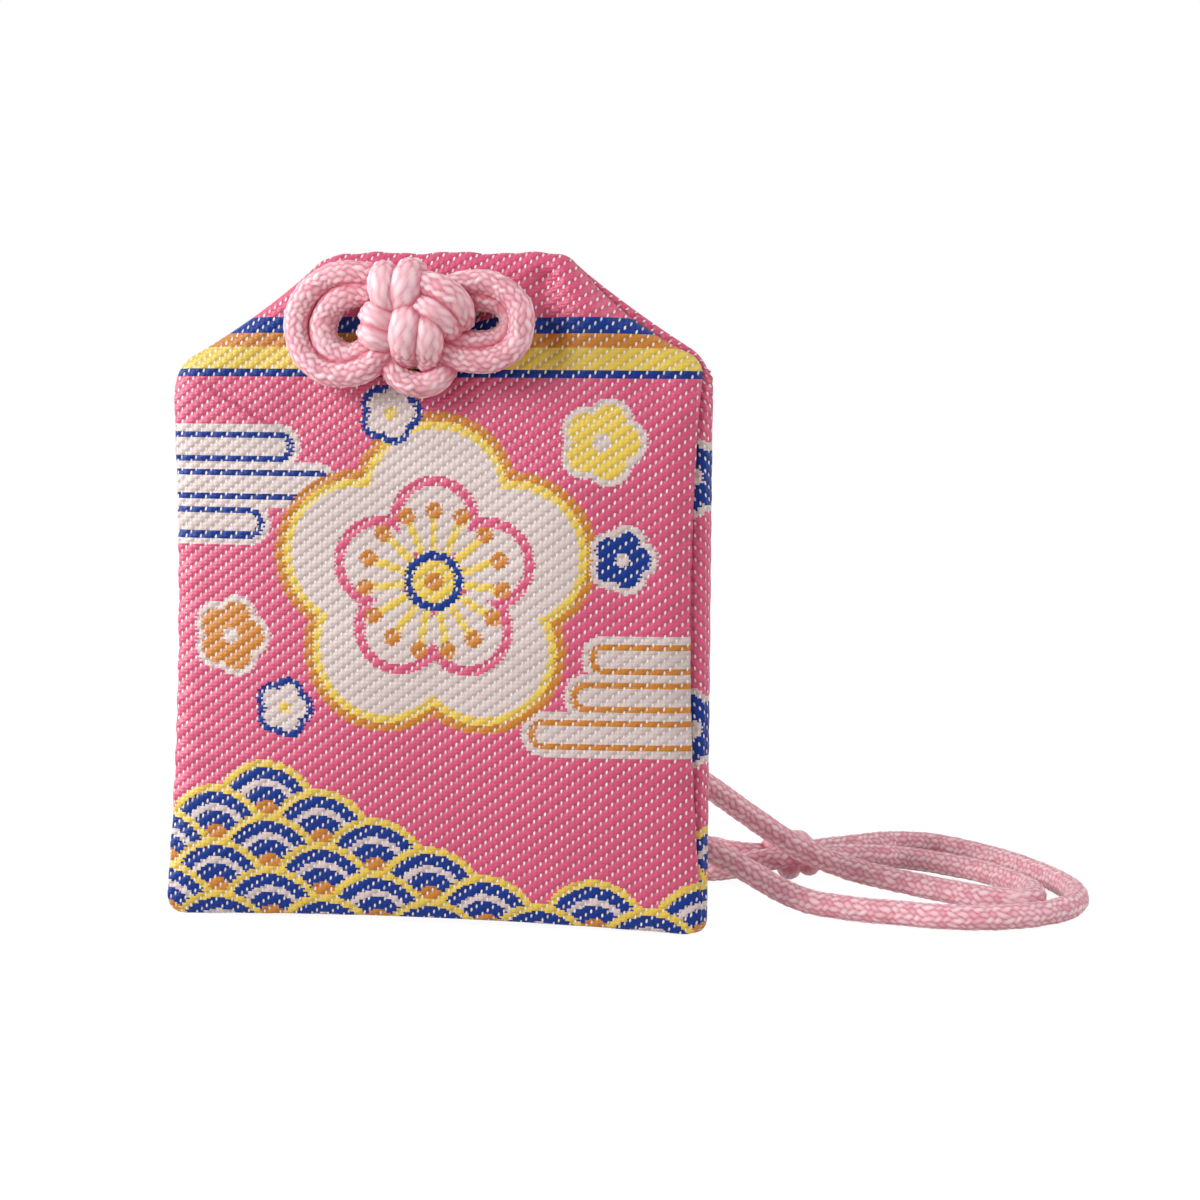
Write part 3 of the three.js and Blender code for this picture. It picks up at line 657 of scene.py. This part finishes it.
def wovenBrocade():
    finish = brocadeFinish
    material, tree = newMaterial("wovenRayonBrocade")
    place = readAttribute(tree, "weaveCell", "Vector")  # in warps and picks
    cell = addNode(tree, "SeparateXYZ", inputs={"Vector": place})
    end, pick = cell.outputs["X"], cell.outputs["Y"]
    endNumber, pickNumber = [compute("FLOOR", v) for v in (end, pick)]
    fromEnd, fromPick = [compute("SUBTRACT", compute("FRACT", v), 0.5) for v in (end, pick)]
    twill = finish["twill"]
    # how far the nearest fleck is: one in every three picks, and one pick higher on each warp
    climb = compute("ADD", compute("SUBTRACT", pick, endNumber), 1.0)
    fromFleck = compute("SUBTRACT", compute("FLOORED_MODULO", climb, twill), twill / 2)
    leaning = compute("MULTIPLY_ADD", fromFleck, -finish["fleckLean"], fromEnd)
    wide = compute("DIVIDE", leaning, finish["fleckWide"])
    tall = compute("DIVIDE", fromFleck, finish["fleckTall"])
    far = compute("MULTIPLY_ADD", tall, tall, compute("MULTIPLY", wide, wide))
    fleck = remap(far, 1.25, 0.4, 0.0, 1.0, "SMOOTHSTEP")
    # fine rows and columns, swelling into a diagonal rib between the flecks that hold the wefts down
    row, column = [compute("COSINE", compute("MULTIPLY", v, pi)) for v in (fromPick, fromEnd)]
    mesh = compute("MULTIPLY", row, column)
    along = compute("FLOORED_MODULO", compute("SUBTRACT", end, pick), twill)
    swell = compute("SINE", compute("MULTIPLY", along, pi / twill))
    fine = compute("MULTIPLY_ADD", mesh, 0.2, 0.8)
    weft = compute("MULTIPLY", fine, compute("MULTIPLY_ADD", swell, 0.6, 0.4))
    height = compute("MAXIMUM", weft, compute("MULTIPLY", fleck, finish["fleckRise"]))
    # thread colour, with each pick dyed a little apart and painted shade darkening the hollows between the
    # ribs
    tint = readAttribute(tree, "threadTint", "Color")
    pickTone = addNode(tree, "TexWhiteNoise", {"noise_dimensions": "1D"}, {"W": pickNumber})
    spread = addNoise(tree, place, 0.055, 2.0)
    tone = compute("MULTIPLY_ADD", pickTone, finish["pickTone"], -finish["pickTone"] / 2)
    tone = compute("MULTIPLY_ADD", spread, finish["spreadTone"], tone)
    # painted shade on the low parts of the weft, added to the dye's tone
    hollowShadeAndDye = compute("ADD", remap(weft, 0.35, 0.9, 0.78, 1.04), tone)
    weftColour = mixColours(tree, 1.0, tint, hollowShadeAndDye, "MULTIPLY")
    number = addNode(tree, "CombineXYZ", inputs={"X": endNumber, "Y": pickNumber})
    fleckTone = addNode(tree, "TexWhiteNoise", {"noise_dimensions": "2D"}, {"Vector": number})
    fleckTone = remap(fleckTone, 0, 1, finish["faintest"], 1.0)
    fleckShare = compute("MULTIPLY", fleck, fleckTone)
    colour = mixColours(tree, fleckShare, weftColour, linear(finish["fleck"]))
    bump = addBump(height, 1.0, finish["bumpDepth"])
    rough = remap(swell, 0, 1, finish["dullest"], finish["roughness"])
    red = addNode(tree, "SeparateColor", inputs={"Color": colour}).outputs["Red"]
    gloss = remap(red, 0, 1, 0.2, 0.9)  # blue wefts shine least
    shader = addNode(tree, "BsdfPrincipled", inputs={
        "Base Color": colour, "Roughness": rough, "Normal": bump, "Specular IOR Level": gloss,
        "Sheen Weight": 0.2, "Sheen Roughness": 0.35, "Sheen Tint": (1.0, 0.9, 0.92, 1.0)})
    addNode(tree, "OutputMaterial", inputs={"Surface": shader})
    return material


brocade = wovenBrocade()

# Cloth of the pouch: flat weave laid over the padded form, its edges turned over and folded in.
# Corners are x, z, their rounding, and how far the edge to the next corner is drawn in.
frontCloth = dict(
    corners=[(-23.7, 0.02, 1.7, 0.9), (-22.8, 47.3, 3.4, 0.4), (-9.0, 57.0, 3.8, -0.05),
             (11.0, 56.95, 2.6, 0.75), (22.6, 47.9, 2.2, 0.9), (23.2, 0.1, 1.5, 0.5)],
    seed=5, topPhases=(0, 1.1),
)
backCloth = dict(
    corners=[(-23.6, 0.0, 1.6, 0.85), (-22.7, 47.2, 3.4, 0.5), (-9.0, 56.8, 3.8, -0.05),
             (10.8, 56.8, 2.6, 0.2), (23.1, 48.0, 3.6, 0.0), (23.2, 0.0, 1.4, 0.4)],
    seed=9, topPhases=(1.9, 0),
)
cloth = dict(
    soften=1.95, roundOver=2.7, turnSteps=200, turnRise=0.6, leastRise=0.3,
    mouthZone=(42.5, 48.5), mouthDepth=0.35, frontSewn=0.25, backSewn=0.3,  # how the two edges meet
    crownReach=16.0, crownShare=0.5, crownEase=(0, 1.5), flatZone=(42, 50), flatShare=0.4,
    puff=0.75, puffZone=(46, 36), hem=0.3, seamFlap=1.3, mouthFlap=2.6,
    wallLess=0.45, leastWall=0.1, sideBulge=0.3,
    pucker=0.1, puckerSpacing=3.1, puckerReach=2.4, puckerZones=((1, 6), (48, 43)), puckerAcross=0.2,
    sway=1.7, swayRate=0.37, rightSway=0.8,
    ripple=0.16, rippleZone=(0.5, 7), topWave=0.08, topRates=(0.95, 2.3), topShare=0.6, topZone=(54.5, 56.8),
    holeRadius=0.98, holeSpread=3.4, holePower=1.25, holeCut=0.42, holeDip=0.35, holeDipReach=2.0,
    lowest=0.02,
)
# The cord's pull on the front cloth: valleys from the knot to the shoulders, a swell between and a tack
pull = dict(
    valleys=((9.2, 55.0, 10.2, 47.0, 0.6, 1.2), (15.5, 49.5, 22.0, 44.5, 0.3, 1.6),
             (-10.0, 53.0, -19.5, 44.5, 0.22, 1.8), (9.5, 50.0, 17.0, 38.0, 0.2, 2.4),
             (-9.5, 48.0, -14.0, 37.0, 0.16, 2.4)),  # from x, z to x, z, how deep and how wide
    dents=((9.4, 54.8, 0.9, 0.8, 0.5), (13.4, 51.2, 2.9, 3.0, -0.7)),  # x, z, width, height and how deep
    begin=(-0.15, 0.2), fade=(1.1, 0.5), edge=(0, 1.5),
)
padding = dict(waves=14, shortest=7, longest=22, calm=4)


def roundedOutline(corners):
    perCorner, perEdge = 9, 34
    spots = np.array([c[:2] for c in corners])
    bends = []
    for k, here in enumerate(spots):
        come = here - spots[k - 1]
        go = spots[(k + 1) % len(spots)] - here
        come, go = come / np.linalg.norm(come), go / np.linalg.norm(go)
        cut = corners[k][2] * tan(acos(float(come.dot(go))) / 2)
        s = np.linspace(0, 1, perCorner)[:, None]
        bends.append((1 - s) ** 2 * (here - come * cut) + 2 * s * (1 - s) * here + s ** 2 * (here + go * cut))
    line = []
    for k, bend in enumerate(bends):
        line.append(bend)
        start, stop = bend[-1], bends[(k + 1) % len(bends)][0]
        way = (stop - start) / np.linalg.norm(stop - start)
        inward = np.array([way[1], -way[0]])
        s = np.linspace(0, 1, perEdge)[1:-1, None]
        line.append(start + (stop - start) * s + inward * corners[k][3] * 4 * s * (1 - s))
    return np.vstack(line)


def toOutline(x, z, outline):
    # each place's distance inside the outline, and the outline's nearest point to it
    start, stop = outline, np.roll(outline, -1, axis=0)
    run = stop - start
    size = (run ** 2).sum(axis=1)
    distance, nearX, nearZ = np.zeros(x.shape), np.zeros(x.shape), np.zeros(x.shape)
    for k in range(len(x)):
        dx, dz = x[k][:, None] - start[:, 0], z[k][:, None] - start[:, 1]
        share = np.clip((dx * run[:, 0] + dz * run[:, 1]) / size, 0, 1)
        offX, offZ = dx - share * run[:, 0], dz - share * run[:, 1]
        far = np.hypot(offX, offZ)
        best = far.argmin(axis=1)
        pickBest = (np.arange(len(best)), best)
        inside = run[best, 0] * offZ[pickBest] - run[best, 1] * offX[pickBest] < 0
        distance[k] = np.where(inside, 1, -1) * np.maximum(far[pickBest], 1e-6)
        nearX[k], nearZ[k] = x[k] - offX[pickBest], z[k] - offZ[pickBest]
    return distance, nearX, nearZ


def softened(field, across, up):
    for axis, reach in ((1, across), (0, up)):
        weights = bell(np.arange(-3 * reach, 3 * reach + 1) / reach)
        field = np.apply_along_axis(
            lambda v: np.convolve(np.pad(v, 3 * reach, "edge"), weights, "valid"), axis, field)
    return field


def ripples(x, z, seed):
    # a few soft waves of the padding, in fixed directions
    rng = np.random.default_rng(seed)
    total = np.zeros(x.shape)
    for _ in range(padding["waves"]):
        size = rng.uniform(padding["shortest"], padding["longest"])
        angle = rng.uniform(0, pi)
        along = x * cos(angle) + z * sin(angle)
        total += np.sin(along * 2 * pi / size + rng.uniform(0, 6.28)) * size / padding["longest"]
    return total / padding["calm"]


def tension(x, z):
    total = np.zeros(x.shape)
    for x0, z0, x1, z1, drop, wide in pull["valleys"]:
        way = np.array([x1 - x0, z1 - z0])
        length = np.linalg.norm(way)
        along = ((x - x0) * way[0] + (z - z0) * way[1]) / length ** 2
        off = np.abs((x - x0) * way[1] - (z - z0) * way[0]) / length
        ends = smoothstep(*pull["begin"], along), smoothstep(*pull["fade"], along)
        total += drop * np.exp(-(off / wide) ** 2) * ends[0] * ends[1]
    for cx, cz, wide, tall, drop in pull["dents"]:
        total += drop * np.exp(-(((x - cx) / wide) ** 2 + ((z - cz) / tall) ** 2))
    return total


def seamPuckers(x, z, inside):
    beside = np.exp(-np.maximum(0, inside) / cloth["puckerReach"])
    for low, high in cloth["puckerZones"]:
        beside = beside * smoothstep(low, high, z)
    sway = cloth["sway"] * np.sin(z * cloth["swayRate"])
    wobble = np.sin(z * 2 * pi / cloth["puckerSpacing"] + sway + np.where(x > 0, cloth["rightSway"], 0))
    return cloth["pucker"] * wobble * beside


def openHoles(x, z, out, past, keep):
    # threads pushed aside round the lacing holes
    radius, spread = cloth["holeRadius"], cloth["holeSpread"]
    for side in (-1, 1):
        dx, dz = x - side * pouch["holeX"], z - pouch["holeHeight"]
        far = np.hypot(dx, dz) + 1e-6
        near = (far < spread) & ~past
        pushed = radius + (spread - radius) * (far / spread) ** cloth["holePower"]
        x[near] += (dx / far * (pushed - far))[near]
        z[near] += (dz / far * (pushed - far))[near]
        keep &= ~((far < cloth["holeCut"]) & ~past)
        dip = cloth["holeDip"] * np.clip(1 - (pushed - radius) / cloth["holeDipReach"], 0, 1) ** 2
        out[near] -= dip[near]


def layCloth(front):
    face = frontCloth if front else backCloth
    row = weave["weft"] / weave["rows"]
    half = round(weave["halfSpan"] / weave["cell"])
    s = np.arange(-half, half + 1) * weave["cell"]
    t = np.arange(round(weave["below"] / row), round(weave["above"] / row) + 1) * row
    flatX, flatZ = np.meshgrid(s, t)
    inside, nearX, nearZ = toOutline(flatX, flatZ, roundedOutline(face["corners"]))
    outX, outZ = (nearX - flatX) / inside, (nearZ - flatZ) / inside  # outward, square to the outline
    mouth = smoothstep(*cloth["mouthZone"], nearZ)  # the open top, where the cloths are folded in
    depth = halfDepth(nearZ)
    sewn = pouch["seamShare"] * depth + cloth["frontSewn"] if front else cloth["backSewn"] * depth
    edge = sewn + (cloth["mouthDepth"] - sewn) * mouth
    rise = np.maximum(cloth["leastRise"], halfDepth(flatZ) - edge)
    # the round-over at the edge: cloth length against distance from the outline
    turn = np.linspace(0, pi / 2, cloth["turnSteps"])
    tableE = cloth["roundOver"] * (1 - np.cos(turn))
    tableH = np.sin(turn)
    tableQ = np.concatenate([[0], np.cumsum(np.hypot(np.diff(tableE), cloth["turnRise"] * np.diff(tableH)))])
    q = inside + tableQ[-1] - cloth["roundOver"]
    moved = q < tableQ[-1]
    e = np.where(moved, np.interp(q, tableQ, tableE), inside)
    roundShare = np.interp(q, tableQ, tableH)
    across, up = [round(cloth["soften"] / step) for step in (weave["cell"], row)]
    soft = softened(np.maximum(inside, 0), across, up)
    crown = 1 - (1 - np.clip(soft / cloth["crownReach"], 0, 1)) ** 2
    puff = cloth["puff"] * crown * smoothstep(*cloth["puffZone"], flatZ)
    share = cloth["crownShare"] * (1 - cloth["flatShare"] * smoothstep(*cloth["flatZone"], flatZ))
    swell = (1 - share) * roundShare + share * crown * smoothstep(*cloth["crownEase"], inside)
    out = edge + puff + rise * swell
    # past the edge: the back's side wall to the seam, then the hem, then the flap inside
    backWall = (1 - mouth) * ((cloth["backSewn"] + pouch["seamShare"]) * depth - cloth["wallLess"])
    wall = np.zeros(q.shape) if front else backWall
    down = np.maximum(0, -q)
    onWall = np.minimum(down, wall)
    bulge = cloth["sideBulge"] * np.abs(outX) * np.sin(pi * onWall / np.maximum(wall, 1e-3))
    bulge = bulge * (wall > cloth["leastWall"])
    hemTurn = np.clip((down - wall) / cloth["hem"], 0, pi / 2)
    flap = np.maximum(0, down - wall - cloth["hem"] * pi / 2)
    past = q < 0
    e = np.where(past, -bulge + cloth["hem"] * (1 - np.cos(hemTurn)) + flap, e)
    out = np.where(past, edge - onWall - cloth["hem"] * np.sin(hemTurn), out)
    x = np.where(moved, nearX - outX * e, flatX)
    z = np.where(moved, nearZ - outZ * e, flatZ)
    keep = flap < cloth["seamFlap"] + (cloth["mouthFlap"] - cloth["seamFlap"]) * mouth
    # puckers along the side seams, ripples of the padding, and the cord's pull
    puckers = seamPuckers(flatX, flatZ, inside)
    out += puckers * np.where(past, 0, 1)
    x += np.sign(flatX) * puckers * cloth["puckerAcross"]
    out += cloth["ripple"] * ripples(flatX, flatZ, face["seed"]) * smoothstep(*cloth["rippleZone"], inside)
    if front:
        out -= tension(flatX, flatZ) * smoothstep(*pull["edge"], inside)
    slow, quick = [np.sin(flatX * rate + phase) for rate, phase in zip(cloth["topRates"], face["topPhases"])]
    z += cloth["topWave"] * (slow + cloth["topShare"] * quick) * smoothstep(*cloth["topZone"], z)
    openHoles(x, z, out, past, keep)
    y = -out if front else out
    return s, t, np.stack([x, y, np.maximum(z, cloth["lowest"])], axis=-1), keep


def makeCloth(name, front, design, node):
    s, t, points, keep = layCloth(front)
    rows, cols = keep.shape
    quads = gridQuads(np.arange(rows * cols).reshape(rows, cols))
    if not front:
        quads = quads[..., ::-1]
    whole = gridQuads(keep).all(axis=-1)
    midS, midT = np.meshgrid((s[:-1] + s[1:]) / 2, (t[:-1] + t[1:]) / 2)
    comb = weave["comb"] * np.where(np.arange(rows - 1) % 2 == 0, 1, -1)[:, None]  # rows interlock
    tints = np.array([linear(code)[:3] for code in threads])[design(midS + comb, midT)]
    used = np.unique(quads[whole])
    renumber = np.full(rows * cols, -1)
    renumber[used] = np.arange(len(used))
    piece = newPiece(name, points.reshape(-1, 3)[used], renumber[quads[whole]], brocade)
    cells = np.stack(np.meshgrid(s / weave["warp"], t / weave["weft"]) + [np.zeros((rows, cols))], axis=-1)
    newAttribute(piece, "weaveCell", "FLOAT_VECTOR", "POINT", cells.reshape(-1, 3)[used])
    newAttribute(piece, "threadTint", "FLOAT_VECTOR", "FACE", tints[whole])
    flat = np.meshgrid((s - s[0]) / (s[-1] - s[0]), (t - t[0]) / (t[-1] - t[0]))
    newLayout(piece, np.stack(flat, axis=-1).reshape(-1, 2)[quads[whole].ravel()])  # the cloth laid flat
    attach(piece, "pouch")
    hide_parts(node)
    print(name, "has", int(whole.sum()), "woven cells")


makeCloth("pouchFront", True, frontDesign, "brocade_front")
makeCloth("pouchBack", False, backDesign, "brocade_back")
print("pouch sewn")

# Inside the pouch: batting behind the front cloth, the seam's thread, a card, and the wrapped talisman
batting = dict(
    halfWidth=18.4, low=5.1, high=44.9, back=-0.85, lift=0.02, reach=2.05, clothGap=0.95,
    steps=72, loft=0.06, edgePower=8, seed=3,
)
seam = dict(
    thread=0.4, clear=1.1, inside=1.35, top=42.8, corner=9.5, clothThick=0.6, fullness=3.4,
    heights=(1, 0.8, 0.56, 0.34, 0.17), turn=((0.21, 0.32), (0.53, 0.095), (1, 0)),  # in tops and corners
    step=0.1, twist=1.1, sides=12, plyDepth=0.28,
)
battingFinish = dict(dark="#e2dfd8", pale="#f6f4ee", size=0.5, roughness=0.95, bumpDepth=0.2, sheen=0.4)
threadFinish = dict(dark="#b8486c", pale="#d2668a", size=0.2, roughness=0.6, bumpDepth=0.02, sheen=0.2)
boardFinish = dict(dark="#8d8a84", pale="#a7a39c", size=0.4, roughness=0.85, bumpDepth=0.03)
woodFinish = dict(dark="#cfa873", pale="#e6cfa6", size=1.6, roughness=0.55, bumpDepth=0.03, along=0.06)
paperFinish = dict(dark="#e4dccb", pale="#f3eee2", size=0.7, roughness=0.8, bumpDepth=0.03, along=0.35)


def plainMaterial(name, dark, pale, size, roughness, bumpDepth, along=1, sheen=0.0):
    material, tree = newMaterial(name)
    place = addNode(tree, "TexCoord").outputs["Object"]
    drawn = addNode(tree, "Mapping", inputs={"Vector": place, "Scale": (1, 1, along)})
    grain = addNoise(tree, drawn, 1 / (size * mm), 4.0)
    colour = mixColours(tree, remap(grain, 0.35, 0.65, 0, 1), linear(dark), linear(pale))
    bump = addBump(grain, 0.5, bumpDepth)
    shader = addNode(tree, "BsdfPrincipled", inputs={
        "Base Color": colour, "Roughness": roughness, "Normal": bump, "Sheen Weight": sheen})
    addNode(tree, "OutputMaterial", inputs={"Surface": shader})
    return material


def makeBatting():
    n, back = batting["steps"], batting["back"]
    u, v = np.meshgrid(np.linspace(-1, 1, n), np.linspace(-1, 1, n))
    loft = np.sqrt(np.clip((1 - u ** batting["edgePower"]) * (1 - v ** batting["edgePower"]), 0, 1))
    x = batting["halfWidth"] * u
    z = (batting["low"] + batting["high"]) / 2 + (batting["high"] - batting["low"]) / 2 * v
    full = np.minimum(halfDepth(z) - batting["clothGap"], batting["reach"]) + back
    front = back - full * loft - batting["loft"] * ripples(x, z, batting["seed"]) * loft
    behind = np.full(x.shape, back + batting["lift"])
    points = np.concatenate([np.stack([x, y, z], axis=-1).reshape(-1, 3) for y in (front, behind)])
    index = np.arange(n * n).reshape(n, n)
    quads = gridQuads(index).reshape(-1, 4)
    rim = np.concatenate([index[0, :-1], index[:-1, -1], index[-1, :0:-1], index[:0:-1, 0]])
    after = np.roll(rim, -1)
    sides = np.stack([rim, rim + n * n, after + n * n, after], axis=-1)
    material = plainMaterial("needledPolyesterBatting", **battingFinish)  # matt white fluff
    piece = newPiece("battingPad", points, np.concatenate([quads, quads[:, ::-1] + n * n, sides]), material)
    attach(piece, "pouch")
    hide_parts("batting_pad")


def seamReach(z):
    # half the pouch's width where the seam lies, inside the cloth
    base, shoulder = pouch["baseWidth"], pouch["shoulderWidth"]
    half = (base + (shoulder - base) * z / pouch["shoulderHeight"]) / 2
    depth = pouch["seamShare"] * float(halfDepth(z)) / (float(halfDepth(z)) - seam["clothThick"])
    return (half - seam["clothThick"]) * (1 - depth ** seam["fullness"]) ** (1 / seam["fullness"])


def makeSeam():
    side = [[seamReach(seam["top"] * k) - seam["inside"], seam["top"] * k] for k in seam["heights"]]
    foot = seamReach(seam["clear"])
    side += [[foot - a * seam["corner"], seam["clear"] + b * seam["corner"]] for a, b in seam["turn"]]
    side.append([foot / 4, seam["clear"]])
    whole = side + [[-x, z] for x, z in reversed(side)]
    line = smoothRoute([[x, -pouch["seamShare"] * float(halfDepth(z)), z] for x, z in whole], seam["step"])
    upright = np.array([0, 1, 0])
    other = np.cross(headings(line), upright)
    ring = np.linspace(0, 2 * pi, seam["sides"], endpoint=False)
    plies = ring[None, :] - (np.arange(len(line)) * seam["step"] * 2 * pi / seam["twist"])[:, None]
    # two plies twisted together
    size = seam["thread"] / 2 * (1 - seam["plyDepth"] + seam["plyDepth"] * np.abs(np.cos(plies)))
    around = np.cos(ring)[:, None] * upright + np.sin(ring)[:, None] * other[:, None, :]
    points = line[:, None, :] + size[..., None] * around
    quads = tubeQuads(len(line), seam["sides"])
    material = plainMaterial("spunPolyesterThread", **threadFinish)  # soft pink, low shine
    piece = newPiece("seamThread", points.reshape(-1, 3), quads, material)
    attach(piece, "pouch")
    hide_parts("seam_thread")


makeBatting()
makeSeam()
for node, name, finish in (
        ("core_card", "greyBoard", boardFinish),  # grey, with paper flecks
        ("talisman_slip", "planedCypress", woodFinish),  # straight-grained and pale
        ("talisman_wrapper", "foldedWashi", paperFinish)):  # soft white, with long fibres
    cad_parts[node].data.materials.clear()
    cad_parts[node].data.materials.append(plainMaterial(name, **finish))
print("inside filled")

# White floor and soft studio light, the key from the upper left
studio = dict(
    sky=0.34, floor="#dcdad8", floorGlow=1.2, floorShare=0.78, floorHalf=6000, floorDrop=0.02,
    lamps=(("keyLight", 1.35, 22, (0.8, 0.85, -0.6)), ("leftLight", 2.9, 40, (1.0, 0.2, -0.25)),
           ("rightLight", 1.2, 60, (-0.9, 0.05, -0.6))),  # strength, spread and direction
)


def seenDirectly(tree):
    rays = addNode(tree, "LightPath").outputs
    seen = compute("MAXIMUM", rays["Is Camera Ray"], rays["Is Glossy Ray"])
    return compute("MAXIMUM", seen, rays["Is Transmission Ray"])


def makeFloor():
    # matt white paper that looks evenly white, and lights the object as a plain floor does
    material, tree = newMaterial("paperFloor")
    share = compute("MULTIPLY", seenDirectly(tree), studio["floorShare"])
    matte = addNode(tree, "BsdfDiffuse", inputs={"Color": linear(studio["floor"])})
    glow = addNode(tree, "Emission", inputs={"Color": (1, 1, 1, 1), "Strength": studio["floorGlow"]})
    mix = addNode(tree, "MixShader", inputs={0: share, 1: matte, 2: glow})
    addNode(tree, "OutputMaterial", inputs={"Surface": mix})
    half = studio["floorHalf"]
    corners = [(-half, -half, 0), (half, -half, 0), (half, half, 0), (-half, half, 0)]
    floor = newPiece("studioFloor", corners, [(0, 1, 2, 3)], material)
    floor.location.z = -studio["floorDrop"] * mm


def makeLight():
    scene = bpy.context.scene
    scene.view_settings.view_transform = "Standard"
    scene.world = bpy.data.worlds.new("studioSky")
    scene.world.use_nodes = True
    sky = scene.world.node_tree
    sky.nodes.clear()
    level = remap(seenDirectly(sky), 0, 1, studio["sky"], 1.0)
    air = addNode(sky, "Background", inputs={"Color": (1, 1, 1, 1), "Strength": level})
    addNode(sky, "OutputWorld", inputs={"Surface": air})
    for name, strength, spread, toward in studio["lamps"]:
        data = bpy.data.lights.new(name, "SUN")
        data.energy = strength
        data.angle = radians(spread)
        lamp = bpy.data.objects.new(name, data)
        lamp.rotation_mode = "QUATERNION"
        lamp.rotation_quaternion = Vector(toward).to_track_quat("-Z", "Y")
        scene.collection.objects.link(lamp)


makeFloor()
makeLight()
print("studio lit")
